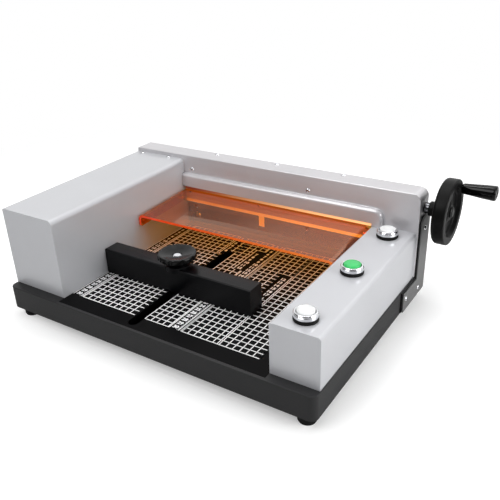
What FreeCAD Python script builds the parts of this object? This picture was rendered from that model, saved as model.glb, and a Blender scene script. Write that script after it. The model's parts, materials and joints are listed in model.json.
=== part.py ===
import FreeCAD
import Part
import Sketcher
import math
import os

# Electric desktop paper cutter with a hand-wheel clamp and a hinged safety cover.
# Millimetres. X runs to the operator's right, Y to the back, Z up. The feet stand on Z = 0
# and the origin lies under the middle of the machine's outline.

doc = FreeCAD.newDocument("PaperCutter")
sheet = doc.addObject("Spreadsheet::Sheet", "Sizes")


class Size:
    """A length that keeps the spreadsheet formula it came from."""

    def __init__(self, value, formula):
        self.value = value
        self.formula = formula

    def __add__(self, other):
        other = as_size(other)
        return Size(self.value + other.value, f"({self.formula} + {other.formula})")

    def __sub__(self, other):
        other = as_size(other)
        return Size(self.value - other.value, f"({self.formula} - {other.formula})")

    def __mul__(self, other):
        other = as_size(other)
        return Size(self.value * other.value, f"({self.formula} * {other.formula})")

    def __truediv__(self, other):
        other = as_size(other)
        return Size(self.value / other.value, f"({self.formula} / {other.formula})")

    def __radd__(self, other):
        return as_size(other) + self

    def __rsub__(self, other):
        return as_size(other) - self

    def __rmul__(self, other):
        return as_size(other) * self

    def __neg__(self):
        return Size(-self.value, f"(0 - {self.formula})")


def as_size(number):
    if isinstance(number, Size):
        return number
    return Size(float(number), f"({float(number)!r})")


def size(name, value):
    """Write one driving dimension into the sheet and hand it back as a Size."""
    row = len(size.names) + 1
    size.names.append(name)
    sheet.set(f"A{row}", name)
    sheet.set(f"B{row}", str(value))
    sheet.setAlias(f"B{row}", name)
    return Size(float(value), f"Sizes.{name}")


size.names = []


def sine(angle):
    return Size(math.sin(math.radians(angle.value)), f"sin({angle.formula})")


def cosine(angle):
    return Size(math.cos(math.radians(angle.value)), f"cos({angle.formula})")


# The base, its feet and the table let into it.
origin_from_left = size("origin_from_left", 299)
origin_from_front = size("origin_from_front", 191.5)
base_depth = size("base_depth", 358)
base_height = size("base_height", 35)
base_wall = size("base_wall", 6)
base_corner = size("base_corner", 10)
base_top_round = size("base_top_round", 1)
deck_thick = size("deck_thick", 14)
foot_height = size("foot_height", 16)
foot_radius = size("foot_radius", 12)
foot_inset = size("foot_inset", 19)
foot_step = size("foot_step", 2)
plate_thick = size("plate_thick", 8)
plate_front_inset = size("plate_front_inset", 5)
plate_rear_inset = size("plate_rear_inset", 8)
stick_width = size("stick_width", 7.6)
stick_depth = size("stick_depth", 6)
clearance = size("clearance", 0.3)
fit = size("fit", 0.05)
running = size("running", 0.1)

# The two housings, the bridge between them and their sheet.
left_box_width = size("left_box_width", 102.5)
opening_width = size("opening_width", 346)
right_box_width = size("right_box_width", 65.5)
left_box_height = size("left_box_height", 121.5)
right_box_height = size("right_box_height", 70.5)
right_box_step = size("right_box_step", 1)
right_box_round = size("right_box_round", 5)
box_front_inset = size("box_front_inset", 16)
box_round = size("box_round", 8)
sheet_thick = size("sheet_thick", 1.5)
sheet_round = size("sheet_round", 3)
bridge_rear_inset = size("bridge_rear_inset", 7)
bridge_depth = size("bridge_depth", 34)
bridge_above_screw = size("bridge_above_screw", 25.2)
bridge_overhang = size("bridge_overhang", 1.5)
bridge_round = size("bridge_round", 12)
bridge_nose = size("bridge_nose", 1.4)
throat_height = size("throat_height", 60)
visor_above_box = size("visor_above_box", 4.5)
visor_height = size("visor_height", 22)
visor_reach = size("visor_reach", 8)
visor_run = size("visor_run", 16)
visor_nose = size("visor_nose", 5)
rear_throat_height = size("rear_throat_height", 45)
vent_count = 9
vent_inset = size("vent_inset", 16)
vent_pitch = size("vent_pitch", 9)
vent_length = size("vent_length", 52)
vent_radius = size("vent_radius", 2)

# The steel frame inside the bridge and the plates outside it.
frame_plate = size("frame_plate", 6)
beam_gap = size("beam_gap", 4)
side_plate_thick = size("side_plate_thick", 2)
packing_thick = size("packing_thick", 1.5)
packing_edge = size("packing_edge", 3)
side_plate_strip = size("side_plate_strip", 35)
side_plate_foot = size("side_plate_foot", 88)
side_plate_height = size("side_plate_height", 92.5)
side_plate_gap = size("side_plate_gap", 2)
side_plate_cut = size("side_plate_cut", 8)
guide_depth = size("guide_depth", 8)
guide_web = size("guide_web", 4)

# The clamp, its draw bar and the screw that the hand wheel turns.
clamp_gap_front = size("clamp_gap_front", 3)
clamp_thick = size("clamp_thick", 9)
clamp_foot_height = size("clamp_foot_height", 22)
clamp_end_gap = size("clamp_end_gap", 3)
clamp_chamfer = size("clamp_chamfer", 0.8)
clamp_rest = size("clamp_rest", 24)
clamp_down = size("clamp_down", 22)
clamp_up = size("clamp_up", 18)
clamp_pin_radius = size("clamp_pin_radius", 4)
clamp_pin_inset = size("clamp_pin_inset", 36)
post_half = size("post_half", 20)
tongue_thick = size("tongue_thick", 5)
draw_bar_thick = size("draw_bar_thick", 4)
draw_bar_gap = size("draw_bar_gap", 1)
draw_bar_edge = size("draw_bar_edge", 4.6)
draw_bar_above_screw = size("draw_bar_above_screw", 20)
draw_bar_inset = size("draw_bar_inset", 8)
draw_bar_rim = size("draw_bar_rim", 14)
lightening_pitch = size("lightening_pitch", 54)
guard_thick = size("guard_thick", 1.2)
guard_gap_from_left = size("guard_gap_from_left", 147.5)
guard_gap = size("guard_gap", 11)
screw_gap = size("screw_gap", 5)
screw_from_bridge = size("screw_from_bridge", 20)
screw_radius = size("screw_radius", 5)
nut_length = size("nut_length", 16)
nut_half_height = size("nut_half_height", 8)
nut_wall = size("nut_wall", 5)
nut_from_opening = size("nut_from_opening", 10)
hanger_inset = size("hanger_inset", 22)
hanger_thick = size("hanger_thick", 7)
bush_radius = size("bush_radius", 10)
bush_flange = size("bush_flange", 1.5)
collar_width = size("collar_width", 6)
collar_radius = size("collar_radius", 8)

# The hand wheel and its grip.
wheel_radius = size("wheel_radius", 46.5)
wheel_width = size("wheel_width", 18)
wheel_gap = size("wheel_gap", 22)
hub_radius = size("hub_radius", 10.5)
rim_thick = size("rim_thick", 15)
rim_round = size("rim_round", 4)
rim_edge = size("rim_edge", 1.5)
web_inset = size("web_inset", 4)
dish_depth = size("dish_depth", 7)
hub_inset = size("hub_inset", 4)
cap_nut_height = size("cap_nut_height", 3.5)
cap_nut_radius = size("cap_nut_radius", 8)
grip_circle = size("grip_circle", 41)
grip_turn = size("grip_turn", 36.5)
grip_end = size("grip_end", 5)
grip_length = size("grip_length", 45.7)
grip_tip_radius = size("grip_tip_radius", 10.5)
grip_root_radius = size("grip_root_radius", 7.5)
grip_round = size("grip_round", 2.5)
spindle_radius = size("spindle_radius", 3)
spindle_seat = size("spindle_seat", 12)

# The blade, its carrier, the rack and the pinion.
blade_gap = size("blade_gap", 1)
blade_thick = size("blade_thick", 3.5)
blade_height = size("blade_height", 48.5)
blade_bevel = size("blade_bevel", 12)
blade_lift = size("blade_lift", 41.5)
blade_drop = size("blade_drop", 41)
blade_left_over = size("blade_left_over", 1.5)
blade_right_over = size("blade_right_over", 43.5)
blade_bolt_count = 6
blade_bolt_inset = size("blade_bolt_inset", 44)
blade_bolt_height = size("blade_bolt_height", 30)
blade_bolt_radius = size("blade_bolt_radius", 3)
stroke_angle = size("stroke_angle", 45)
carrier_thick = size("carrier_thick", 7.5)
carrier_lap = size("carrier_lap", 28)
carrier_rise = size("carrier_rise", 7.5)
carrier_short = size("carrier_short", 26)
carrier_arm = size("carrier_arm", 24)
carrier_pin_radius = size("carrier_pin_radius", 4)
carrier_pin_inset = size("carrier_pin_inset", 62)
gear_module = size("gear_module", 1.5)
pressure_angle = size("pressure_angle", 20)
pinion_teeth = size("pinion_teeth", 20)
pinion_height = size("pinion_height", 68)
pinion_from_opening = size("pinion_from_opening", 50)
pinion_hub_radius = size("pinion_hub_radius", 9)
pinion_hub_length = size("pinion_hub_length", 6)
gear_play = size("gear_play", 0.05)
rack_back = size("rack_back", 9)

# The motor, the gearbox and the electrical pieces.
motor_radius = size("motor_radius", 39)
motor_length = size("motor_length", 140)
cooling_grooves = 5
groove_pitch = size("groove_pitch", 20)
gearbox_width = size("gearbox_width", 80)
gearbox_length = size("gearbox_length", 50)
shaft_radius = size("shaft_radius", 6)
shaft_seat = size("shaft_seat", 12)
bracket_thick = size("bracket_thick", 6)
bracket_foot = size("bracket_foot", 44)
capacitor_radius = size("capacitor_radius", 18)
capacitor_height = size("capacitor_height", 64)
capacitor_inset = size("capacitor_inset", 32)
board_inset = size("board_inset", 6)
board_from_front = size("board_from_front", 22)
board_length = size("board_length", 130)
board_lift = size("board_lift", 8)
board_thick = size("board_thick", 1.6)
post_radius = size("post_radius", 3)
chip_size = size("chip_size", 12)
transformer_length = size("transformer_length", 44)
transformer_height = size("transformer_height", 38)
transformer_gap = size("transformer_gap", 3)
coil_inset = size("coil_inset", 7)
switch_thick = size("switch_thick", 8)
switch_length = size("switch_length", 26)
switch_height = size("switch_height", 14)
inlet_from_right = size("inlet_from_right", 70)
inlet_from_bottom = size("inlet_from_bottom", 10.5)
inlet_width = size("inlet_width", 48)
inlet_height = size("inlet_height", 19)
inlet_depth = size("inlet_depth", 24)

# The hinged cover and the rail behind it.
cover_thick = size("cover_thick", 4)
cover_side_gap = size("cover_side_gap", 1.7)
cover_reach = size("cover_reach", 111)
cover_behind = size("cover_behind", 9)
cover_rise = size("cover_rise", 10)
cover_side_height = size("cover_side_height", 20)
cover_tilt = size("cover_tilt", 2.2)
cover_bend = size("cover_bend", 9)
cover_heel_round = size("cover_heel_round", 8)
cover_toe_round = size("cover_toe_round", 2)
hinge_drop = size("hinge_drop", 9.5)
hinge_from_bridge = size("hinge_from_bridge", 17)
hinge_pin_radius = size("hinge_pin_radius", 3)
pin_head_radius = size("pin_head_radius", 3.8)
pin_head_thick = size("pin_head_thick", 0.8)
rail_thick = size("rail_thick", 3)
rail_end_gap = size("rail_end_gap", 2.5)
rail_height = size("rail_height", 28.5)
rail_gap = size("rail_gap", 0.5)

# The gauge, its stud and knob, and the slot it runs in.
slot_width = size("slot_width", 15.5)
slot_from_left = size("slot_from_left", 131.5)
slot_from_front = size("slot_from_front", 11)
slot_length = size("slot_length", 244)
window_room = size("window_room", 7)
gauge_end_gap = size("gauge_end_gap", 0.8)
gauge_length = size("gauge_length", 262)
gauge_thick = size("gauge_thick", 29)
gauge_height = size("gauge_height", 40)
gauge_from_front = size("gauge_from_front", 107.5)
gauge_round = size("gauge_round", 2.5)
boss_radius = size("boss_radius", 18)
boss_rise = size("boss_rise", 2)
boss_drop = size("boss_drop", 6)
key_depth = size("key_depth", 5)
key_end_gap = size("key_end_gap", 6)
stud_radius = size("stud_radius", 5)
stud_cap_radius = size("stud_cap_radius", 6.8)
stud_cap_height = size("stud_cap_height", 3)
knob_radius = size("knob_radius", 28.5)
knob_height = size("knob_height", 17.5)
knob_disc = size("knob_disc", 8.5)
knob_neck = size("knob_neck", 14)
knob_dish = size("knob_dish", 8.2)
knob_bowl = size("knob_bowl", 4)
knob_rim = size("knob_rim", 3.5)
knob_round = size("knob_round", 2.5)
knob_scallops = 10
scallop_radius = size("scallop_radius", 5)
scallop_depth = size("scallop_depth", 1.6)
slide_nut_width = size("slide_nut_width", 30)
slide_nut_thick = size("slide_nut_thick", 6)
pan_depth = size("pan_depth", 8)
pan_wall = size("pan_wall", 3)
pan_floor = size("pan_floor", 1.2)

# The push buttons on the right housing: from its front, from the bridge, and between them.
front_button = size("front_button", 26)
back_button = size("back_button", 29.1)
button_spacing = size("button_spacing", 120.2)
button_radius = size("button_radius", 14.8)
bezel_height = size("bezel_height", 7.5)
bezel_wall = size("bezel_wall", 3.2)
barrel_radius = size("barrel_radius", 11)
barrel_length = size("barrel_length", 22)
barrel_nut = size("barrel_nut", 4)
gasket_height = size("gasket_height", 4)
cap_stand = size("cap_stand", 1.5)
stem_radius = size("stem_radius", 4)
button_travel = size("button_travel", 3)
contact_height = size("contact_height", 24)

# Places worked out from the sizes above.
left = -origin_from_left
front = -origin_from_front
rear = front + base_depth
inner_left = left + left_box_width
inner_right = inner_left + opening_width
right = inner_right + right_box_width
base_bottom = foot_height
table = foot_height + base_height
box_front = front + box_front_inset
bridge_rear = rear - bridge_rear_inset
bridge_front = bridge_rear - bridge_depth
bridge_right = right + bridge_overhang
clamp_front = bridge_front + clamp_gap_front
clamp_rear = clamp_front + clamp_thick
blade_front = clamp_rear + blade_gap
blade_rear = blade_front + blade_thick
carrier_rear = blade_rear + carrier_thick
beam_front = carrier_rear + 0.5
beam_rear = beam_front + frame_plate
screw_y = bridge_front + screw_from_bridge
blade_edge = table + blade_lift
blade_top = blade_edge + blade_height
screw_z = blade_top + screw_gap + nut_half_height
bridge_top = screw_z + bridge_above_screw
draw_bar_low = table + clamp_rest + clamp_foot_height + clamp_up + draw_bar_gap
draw_bar_high = screw_z + draw_bar_above_screw
clamp_pin_z = draw_bar_low + draw_bar_edge + clamp_down + clearance + clamp_pin_radius + running
carrier_low = blade_top - carrier_lap
carrier_high = blade_top + carrier_rise
visor_low = table + right_box_height + visor_above_box
visor_high = visor_low + visor_height
nut_left = inner_right + nut_from_opening
wheel_inner = bridge_right + wheel_gap
wheel_outer = wheel_inner + wheel_width
cheek_left = left + side_plate_gap
cheek_right = right - 1
hinge_y = bridge_front - hinge_from_bridge
hinge_z = table + right_box_height - hinge_drop
slot_x = inner_left + slot_from_left
slot_start = front + slot_from_front
gauge_front = front + gauge_from_front
gauge_rear = gauge_front + gauge_thick
inlet_x = right - inlet_from_right
inlet_z = base_bottom + inlet_from_bottom
stroke = blade_drop / sine(stroke_angle)
stroke_run = stroke * cosine(stroke_angle)
pitch_radius = gear_module * pinion_teeth / 2
tooth_pitch = gear_module * math.pi
tooth_root = gear_module * 1.25
pinion_x = inner_left - pinion_from_opening
pinion_z = table + pinion_height
mesh_x = pinion_x + pitch_radius * sine(stroke_angle)
mesh_z = pinion_z - pitch_radius * cosine(stroke_angle)
rack_teeth_below = 2
rack_teeth = rack_teeth_below + math.ceil(stroke.value / tooth_pitch.value) + 1
button_x = inner_right + right_box_width / 2
buttons = {
    "button_front": box_front + front_button,
    "button_middle": bridge_front - back_button - button_spacing,
    "button_back": bridge_front - back_button,
}

PLANES = {"X": "YZ_Plane", "Y": "XZ_Plane", "Z": "XY_Plane"}
TURNING = {"X": ("Z", "H_Axis"), "Y": ("Z", "V_Axis"), "Z": ("Y", "V_Axis")}
ALONG_X = (1, 0, 0)


def bind(target, path, amount):
    target.setExpression(path, as_size(amount).formula)


def new_body(label):
    body = doc.addObject("PartDesign::Body", label)
    body.Label = label
    return body


def place(body, x, y, z, axis=ALONG_X, angle=0):
    """Tie a body's position and its turn about an axis to the sheet."""
    turned = FreeCAD.Rotation(FreeCAD.Vector(*axis), as_size(angle).value)
    at = FreeCAD.Vector(*[as_size(amount).value for amount in (x, y, z)])
    body.Placement = FreeCAD.Placement(at, turned)
    for name, amount in (("x", x), ("y", y), ("z", z)):
        bind(body, f".Placement.Base.{name}", amount)
    if angle:
        bind(body, ".Placement.Rotation.Angle", angle)


def new_sketch(body, axis, offset):
    """An empty sketch square to the axis; offset runs along the plane's own normal."""
    plane = next(item for item in body.Origin.OriginFeatures if item.Role == PLANES[axis])
    sketch = body.newObject("Sketcher::SketchObject", f"{body.Label}_sketch")
    sketch.AttachmentSupport = [(plane, "")]
    sketch.MapMode = "FlatFace"
    bind(sketch, ".AttachmentOffset.Base.z", offset)
    return sketch


def dimension(sketch, kind, *arguments):
    """Add a constraint whose last argument is its size, and bind that size to the sheet."""
    amount = as_size(arguments[-1])
    index = sketch.addConstraint(Sketcher.Constraint(kind, *arguments[:-1], amount.value))
    sketch.setExpression(f"Constraints[{index}]", amount.formula)


def locate(sketch, geometry, point, u, v):
    dimension(sketch, "DistanceX", -1, 1, geometry, point, u)
    dimension(sketch, "DistanceY", -1, 1, geometry, point, v)


def vector(u, v):
    return FreeCAD.Vector(as_size(u).value, as_size(v).value, 0)


def ring(u, v, radius):
    return Part.Circle(vector(u, v), FreeCAD.Vector(0, 0, 1), as_size(radius).value)


def circle(u, v, radius):
    """A loop drawer for one circle."""
    def draw(sketch):
        index = sketch.addGeometry(ring(u, v, radius))
        locate(sketch, index, 3, u, v)
        dimension(sketch, "Radius", index, radius)
    return draw


def outline(*corners):
    """A loop drawer for a closed outline, anticlockwise. A corner (u, v) is sharp; a corner
    (u, v, radius) is an arc about that centre which the straight lines touch."""
    def draw(sketch):
        rounds = [(corner[0], corner[1], corner[2] if len(corner) > 2 else 0) for corner in corners]
        radii = [as_size(corner[2]).value for corner in rounds]
        count = len(rounds)
        normals = []
        for index in range(count):
            run = vector(*rounds[(index + 1) % count][:2]) - vector(*rounds[index][:2])
            along = FreeCAD.Vector(run).normalize()
            lean = (radii[index] - radii[(index + 1) % count]) / run.Length
            outward = FreeCAD.Vector(along.y, -along.x, 0)
            normals.append(outward * math.sqrt(1 - lean * lean) + along * lean)
        lines = []
        for index in range(count):
            following = (index + 1) % count
            start = vector(*rounds[index][:2]) + normals[index] * radii[index]
            end = vector(*rounds[following][:2]) + normals[index] * radii[following]
            lines.append(sketch.addGeometry(Part.LineSegment(start, end)))
        for index in range(count):
            before = lines[index - 1]
            after = lines[index]
            if not radii[index]:
                sketch.addConstraint(Sketcher.Constraint("Coincident", before, 2, after, 1))
                locate(sketch, after, 1, *rounds[index][:2])
                continue
            start = math.atan2(normals[index - 1].y, normals[index - 1].x)
            end = math.atan2(normals[index].y, normals[index].x)
            arc = sketch.addGeometry(Part.ArcOfCircle(ring(*rounds[index]), start, end))
            locate(sketch, arc, 3, *rounds[index][:2])
            dimension(sketch, "Radius", arc, rounds[index][2])
            sketch.addConstraint(Sketcher.Constraint("Tangent", before, 2, arc, 1))
            sketch.addConstraint(Sketcher.Constraint("Tangent", arc, 2, after, 1))
    return draw


def rectangle(u_low, v_low, u_high, v_high, radius=None):
    if radius is None:
        return outline((u_low, v_low), (u_high, v_low), (u_high, v_high), (u_low, v_high))
    return outline((u_low + radius, v_low + radius, radius), (u_high - radius, v_low + radius, radius),
                   (u_high - radius, v_high - radius, radius), (u_low + radius, v_high - radius, radius))


def slot(u_from, v_from, u_to, v_to, radius):
    return outline((u_from, v_from, radius), (u_to, v_to, radius))


def straight(body, kind, axis, low, high, loops):
    """Draw the loops square to the axis and run them from low to high along it."""
    sketch = new_sketch(body, axis, -as_size(high) if axis == "Y" else low)
    for draw in loops:
        draw(sketch)
    feature = body.newObject(kind, f"{body.Label}_{kind[12:].lower()}")
    feature.Profile = sketch
    bind(feature, "Length", as_size(high) - low)
    sketch.Visibility = False
    return feature


def pad(body, axis, low, high, *loops):
    return straight(body, "PartDesign::Pad", axis, low, high, loops)


def pocket(body, axis, low, high, *loops):
    """Cut the loops away, and make sure that material went."""
    doc.recompute()
    before = body.Shape.Volume
    feature = straight(body, "PartDesign::Pocket", axis, low, high, loops)
    feature.Reversed = True
    doc.recompute()
    if body.Shape.Volume >= before:
        raise RuntimeError(f"{body.Label}: a pocket cuts nothing")
    return feature


def turn(body, axis, *corners):
    """Turn a half outline about an axis through the body's own origin. Its corners are
    (along, radius) for X and (radius, along) for Y and Z."""
    plane, reference = TURNING[axis]
    sketch = new_sketch(body, plane, 0)
    outline(*corners)(sketch)
    feature = body.newObject("PartDesign::Revolution", f"{body.Label}_revolution")
    feature.Profile = sketch
    feature.ReferenceAxis = (sketch, [reference])
    feature.Angle = 360
    sketch.Visibility = False
    return feature


def soften(body, kind, amount, chooser):
    """Fillet or chamfer the edges of the body's last feature that the chooser accepts."""
    doc.recompute()
    base = body.Tip
    names = [f"Edge{index}" for index, edge in enumerate(body.Tip.Shape.Edges, 1) if chooser(edge)]
    if not names:
        raise RuntimeError(f"{body.Label}: no edge to soften")
    feature = body.newObject(f"PartDesign::{kind}", f"{body.Label}_{kind.lower()}")
    feature.Base = (base, names)
    bind(feature, "Radius" if kind == "Fillet" else "Size", amount)
    doc.recompute()
    return feature


def runs(edge, direction):
    """Whether an edge is straight and runs along a direction."""
    if not isinstance(edge.Curve, Part.Line):
        return False
    return abs(abs(edge.Curve.Direction.dot(FreeCAD.Vector(*direction))) - 1) < 1e-6


def at_level(edge, name, level):
    """Whether every end of an edge lies at one height along x, y or z."""
    wanted = as_size(level).value
    return all(abs(getattr(vertex.Point, name) - wanted) < 0.01 for vertex in edge.Vertexes)


def foot_places():
    return [(x, y) for x in (left + foot_inset, bridge_right - foot_inset)
            for y in (front + foot_inset, rear - foot_inset)]


def make_base():
    """Cast tray: round corners outside, hollow below, recessed on top for the table plate."""
    body = new_body("base_casting")
    pad(body, "Z", base_bottom, table, rectangle(left, front, bridge_right, rear, base_corner))
    soften(body, "Fillet", base_top_round, lambda edge: at_level(edge, "z", table))
    pocket(body, "Z", base_bottom, table - deck_thick,
           rectangle(left + base_wall, front + base_wall, bridge_right - base_wall, rear - base_wall,
                     base_corner - base_wall + 2))
    pocket(body, "Z", table - plate_thick, table,
           rectangle(inner_left, front + plate_front_inset, inner_right, rear - plate_rear_inset))
    half = slide_nut_width / 2 + window_room
    pocket(body, "Z", table - deck_thick, table - plate_thick,
           rectangle(slot_x - half, slot_start, slot_x + half, slot_start + slot_length + window_room))
    pad(body, "Z", base_bottom, table - deck_thick,
        *[circle(x, y, foot_radius) for x, y in foot_places()])
    pan = new_body("slot_pan")
    deck_low = table - deck_thick
    start = slot_start
    end = slot_start + slot_length + window_room
    pad(pan, "Z", deck_low - pan_depth, deck_low,
        rectangle(slot_x - half - pan_wall, start - pan_wall, slot_x + half + pan_wall, end + pan_wall))
    pocket(pan, "Z", deck_low - pan_depth + pan_floor, deck_low,
           rectangle(slot_x - half, start, slot_x + half, end))

    half = inlet_width / 2 + clearance
    pocket(body, "Y", rear - base_wall, rear,
           rectangle(inlet_x - half, inlet_z - inlet_height / 2 - clearance,
                     inlet_x + half, inlet_z + inlet_height / 2 + clearance))

    feet = new_body("feet")
    pad(feet, "Z", foot_step, foot_height, *[circle(x, y, foot_radius) for x, y in foot_places()])
    pad(feet, "Z", 0, foot_step, *[circle(x, y, foot_radius - 1) for x, y in foot_places()])


def make_table():
    """Steel table plate with the gauge slot and the groove for the cutting stick."""
    body = new_body("table_plate")
    pad(body, "Z", table - plate_thick, table,
        rectangle(inner_left + clearance, front + plate_front_inset + clearance,
                  inner_right - clearance, rear - plate_rear_inset - clearance))
    radius = slot_width / 2
    pocket(body, "Z", table - plate_thick, table,
           slot(slot_x, slot_start + radius, slot_x, slot_start + slot_length - radius, radius))
    groove = blade_front + blade_thick / 2
    low = groove - stick_width / 2
    high = groove + stick_width / 2
    strip = rectangle(inner_left + clearance, low, inner_right - clearance, high)
    pocket(body, "Z", table - stick_depth, table, strip)

    stick = new_body("cutting_stick")
    pad(stick, "Z", table - stick_depth, table, strip)


def make_housings():
    """Two folded sheet boxes, open below and behind; the right one carries the buttons."""
    body = new_body("left_housing")
    top = table + left_box_height
    hidden = sheet_round - sheet_thick
    pad(body, "Y", box_front, bridge_front,
        outline((left, table), (inner_left, table), (inner_left - box_round, top - box_round, box_round),
                (left + sheet_round, top - sheet_round, sheet_round)))
    pocket(body, "Y", box_front + sheet_thick, bridge_front,
           outline((left + sheet_thick, table), (inner_left - sheet_thick, table),
                   (inner_left - box_round, top - box_round, box_round - sheet_thick),
                   (left + sheet_round, top - sheet_round, hidden)))
    hole = circle(hinge_y, hinge_z, hinge_pin_radius + fit)
    pocket(body, "X", inner_left - sheet_thick, inner_left, hole)

    body = new_body("right_housing")
    top = table + right_box_height
    pad(body, "Y", box_front - right_box_step, bridge_front,
        outline((inner_right, table), (right, table),
                (right - right_box_round, top - right_box_round, right_box_round),
                (inner_right + sheet_round, top - sheet_round, sheet_round)))
    pocket(body, "Y", box_front - right_box_step + sheet_thick, bridge_front,
           outline((inner_right + sheet_thick, table), (right - sheet_thick, table),
                   (right - right_box_round, top - right_box_round, right_box_round - sheet_thick),
                   (inner_right + sheet_round, top - sheet_round, hidden)))
    pocket(body, "Z", top - sheet_thick, top,
           *[circle(button_x, y, barrel_radius + clearance) for y in buttons.values()])
    pocket(body, "X", inner_right, inner_right + sheet_thick, hole)


def make_bridge_cover():
    """Silver bridge housing with the throat, the way in for the screw and the rolled visor."""
    body = new_body("bridge_cover")
    hidden = sheet_round - sheet_thick
    edge = bridge_right - bridge_round
    pad(body, "Y", bridge_front, bridge_rear,
        outline((left, table), (bridge_right, table), (edge, bridge_top - bridge_round, bridge_round),
                (left + sheet_round, bridge_top - sheet_round, sheet_round)))
    soften(body, "Fillet", bridge_nose,
           lambda edge: at_level(edge, "y", bridge_front) and at_level(edge, "z", bridge_top))
    pocket(body, "Y", bridge_front + sheet_thick, bridge_rear,
           outline((left + sheet_thick, table), (bridge_right - sheet_thick, table),
                   (edge, bridge_top - bridge_round, bridge_round - sheet_thick),
                   (left + sheet_round, bridge_top - sheet_round, hidden)))
    wall = bridge_front + sheet_thick
    lap = 4
    pocket(body, "Y", bridge_front, wall,
           rectangle(inner_left, table, inner_right, table + throat_height),
           rectangle(left + lap, table, inner_left - lap, table + left_box_height - lap * 2),
           rectangle(inner_right + lap, table, right - lap, table + right_box_height - lap))
    pocket(body, "X", bridge_right - sheet_thick, bridge_right, circle(screw_y, screw_z, screw_radius + 2))

    lip = bridge_front - visor_reach
    start = inner_left + clearance
    end = inner_right + visor_run
    low = visor_low
    high = visor_high
    curl = visor_height * 0.6
    pad(body, "Y", lip, bridge_front,
        outline((start, low), (inner_right, low), (inner_right, table + right_box_height),
                (end, table + right_box_height), (end - curl, high - curl, curl),
                (start, high)))
    soften(body, "Fillet", visor_nose,
           lambda edge: at_level(edge, "y", lip) and at_level(edge, "z", high))


def make_rear_cover():
    """Sheet that closes the bridge behind, with the way out for offcuts and cooling slots."""
    body = new_body("rear_cover")
    gap = sheet_thick + clearance
    high = bridge_top - gap
    turn_z = bridge_top - bridge_round
    pad(body, "Y", bridge_rear - sheet_thick, bridge_rear,
        outline((left + gap, table), (bridge_right - gap, table),
                (bridge_right - bridge_round, turn_z, bridge_round - gap),
                (left + sheet_round, bridge_top - sheet_round, sheet_round - gap)))
    pocket(body, "Y", bridge_rear - sheet_thick, bridge_rear,
           rectangle(inner_left, table, inner_right, table + rear_throat_height))
    first = left + vent_inset
    grooves = []
    for index in range(vent_count):
        x = first + vent_pitch * index
        grooves.append(slot(x, high - vent_inset - vent_length, x, high - vent_inset, vent_radius))
    pocket(body, "Y", bridge_rear - sheet_thick, bridge_rear, *grooves)


def make_side_plate(label, low, high, lap=0):
    """Plate outside the frame, with a foot that runs forward along the base. The black packing
    behind it laps out in front of it."""
    body = new_body(label)
    back = rear - side_plate_gap
    edge = back - side_plate_strip - lap
    toe = back - side_plate_foot - lap
    ankle = table - side_plate_gap * 2 + lap
    floor = base_bottom + 1
    top = table + side_plate_height
    pad(body, "X", low, high,
        outline((toe, floor), (back, floor), (back, top), (edge + side_plate_cut, top),
                (edge, top - side_plate_cut), (edge, ankle), (toe, ankle)))
    soften(body, "Fillet", side_plate_gap,
           lambda edge: runs(edge, ALONG_X) and not at_level(edge, "z", ankle))


def carrier_pin_places():
    return [(inner_left + carrier_pin_inset, blade_top), (inner_right - carrier_pin_inset, blade_top)]


def make_frame():
    """Two cheeks and the rear beam, whose sloping slots guide the blade carrier."""
    low_y = bridge_front + sheet_thick
    high_y = bridge_rear - sheet_thick
    cheek_top = bridge_top - bridge_round - 1
    faces = (("frame_cheek_left", cheek_left), ("frame_cheek_right", cheek_right - frame_plate))
    for label, face in faces:
        cheek = new_body(label)
        pad(cheek, "X", face, face + frame_plate, rectangle(low_y, table, high_y, cheek_top))
        if label == "frame_cheek_right":
            pocket(cheek, "X", face, face + frame_plate, circle(screw_y, screw_z, bush_radius - 2))

    beam = new_body("bridge_beam")
    low_x = cheek_left + frame_plate
    high_x = cheek_right - frame_plate
    beam_top = bridge_top - beam_gap
    pad(beam, "Y", beam_front, beam_rear,
        outline((low_x, table), (inner_left, table), (inner_left, blade_edge - 1),
                (inner_right, blade_edge - 1), (inner_right, table), (high_x, table),
                (high_x, beam_top - bridge_round), (high_x - bridge_round, beam_top), (low_x, beam_top)))
    run = stroke_run + clearance
    drop = blade_drop + clearance
    grooves = [slot(x - run, z - drop, x + clearance, z + clearance, carrier_pin_radius + running)
               for x, z in carrier_pin_places()]
    window = bush_radius + 1
    pocket(beam, "Y", beam_front, beam_rear, *grooves,
           rectangle(inner_right - hanger_inset + hanger_thick, screw_z - window,
                     high_x, screw_z + window))

    for label, face, side in (("clamp_guide_left", inner_left, -1), ("clamp_guide_right", inner_right, 1)):
        guide = new_body(label)
        lip = face + clearance * side
        web = face + guide_depth * side
        outer = face + (guide_depth + guide_web) * side
        across = [outer, lip] if side < 0 else [lip, outer]
        groove = [web, lip] if side < 0 else [lip, web]
        guide_top = table + throat_height + 2
        pad(guide, "Z", table, guide_top,
            rectangle(across[0], clamp_front - 1, across[1], clamp_rear + 1 - clearance))
        pocket(guide, "Z", table, guide_top,
               rectangle(groove[0], clamp_front + 2 - 0.1, groove[1], clamp_front + 2 + tongue_thick + 0.1))


def clamp_pin_places():
    return [(inner_left + clamp_pin_inset, clamp_pin_z), (inner_right - clamp_pin_inset, clamp_pin_z)]


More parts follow.
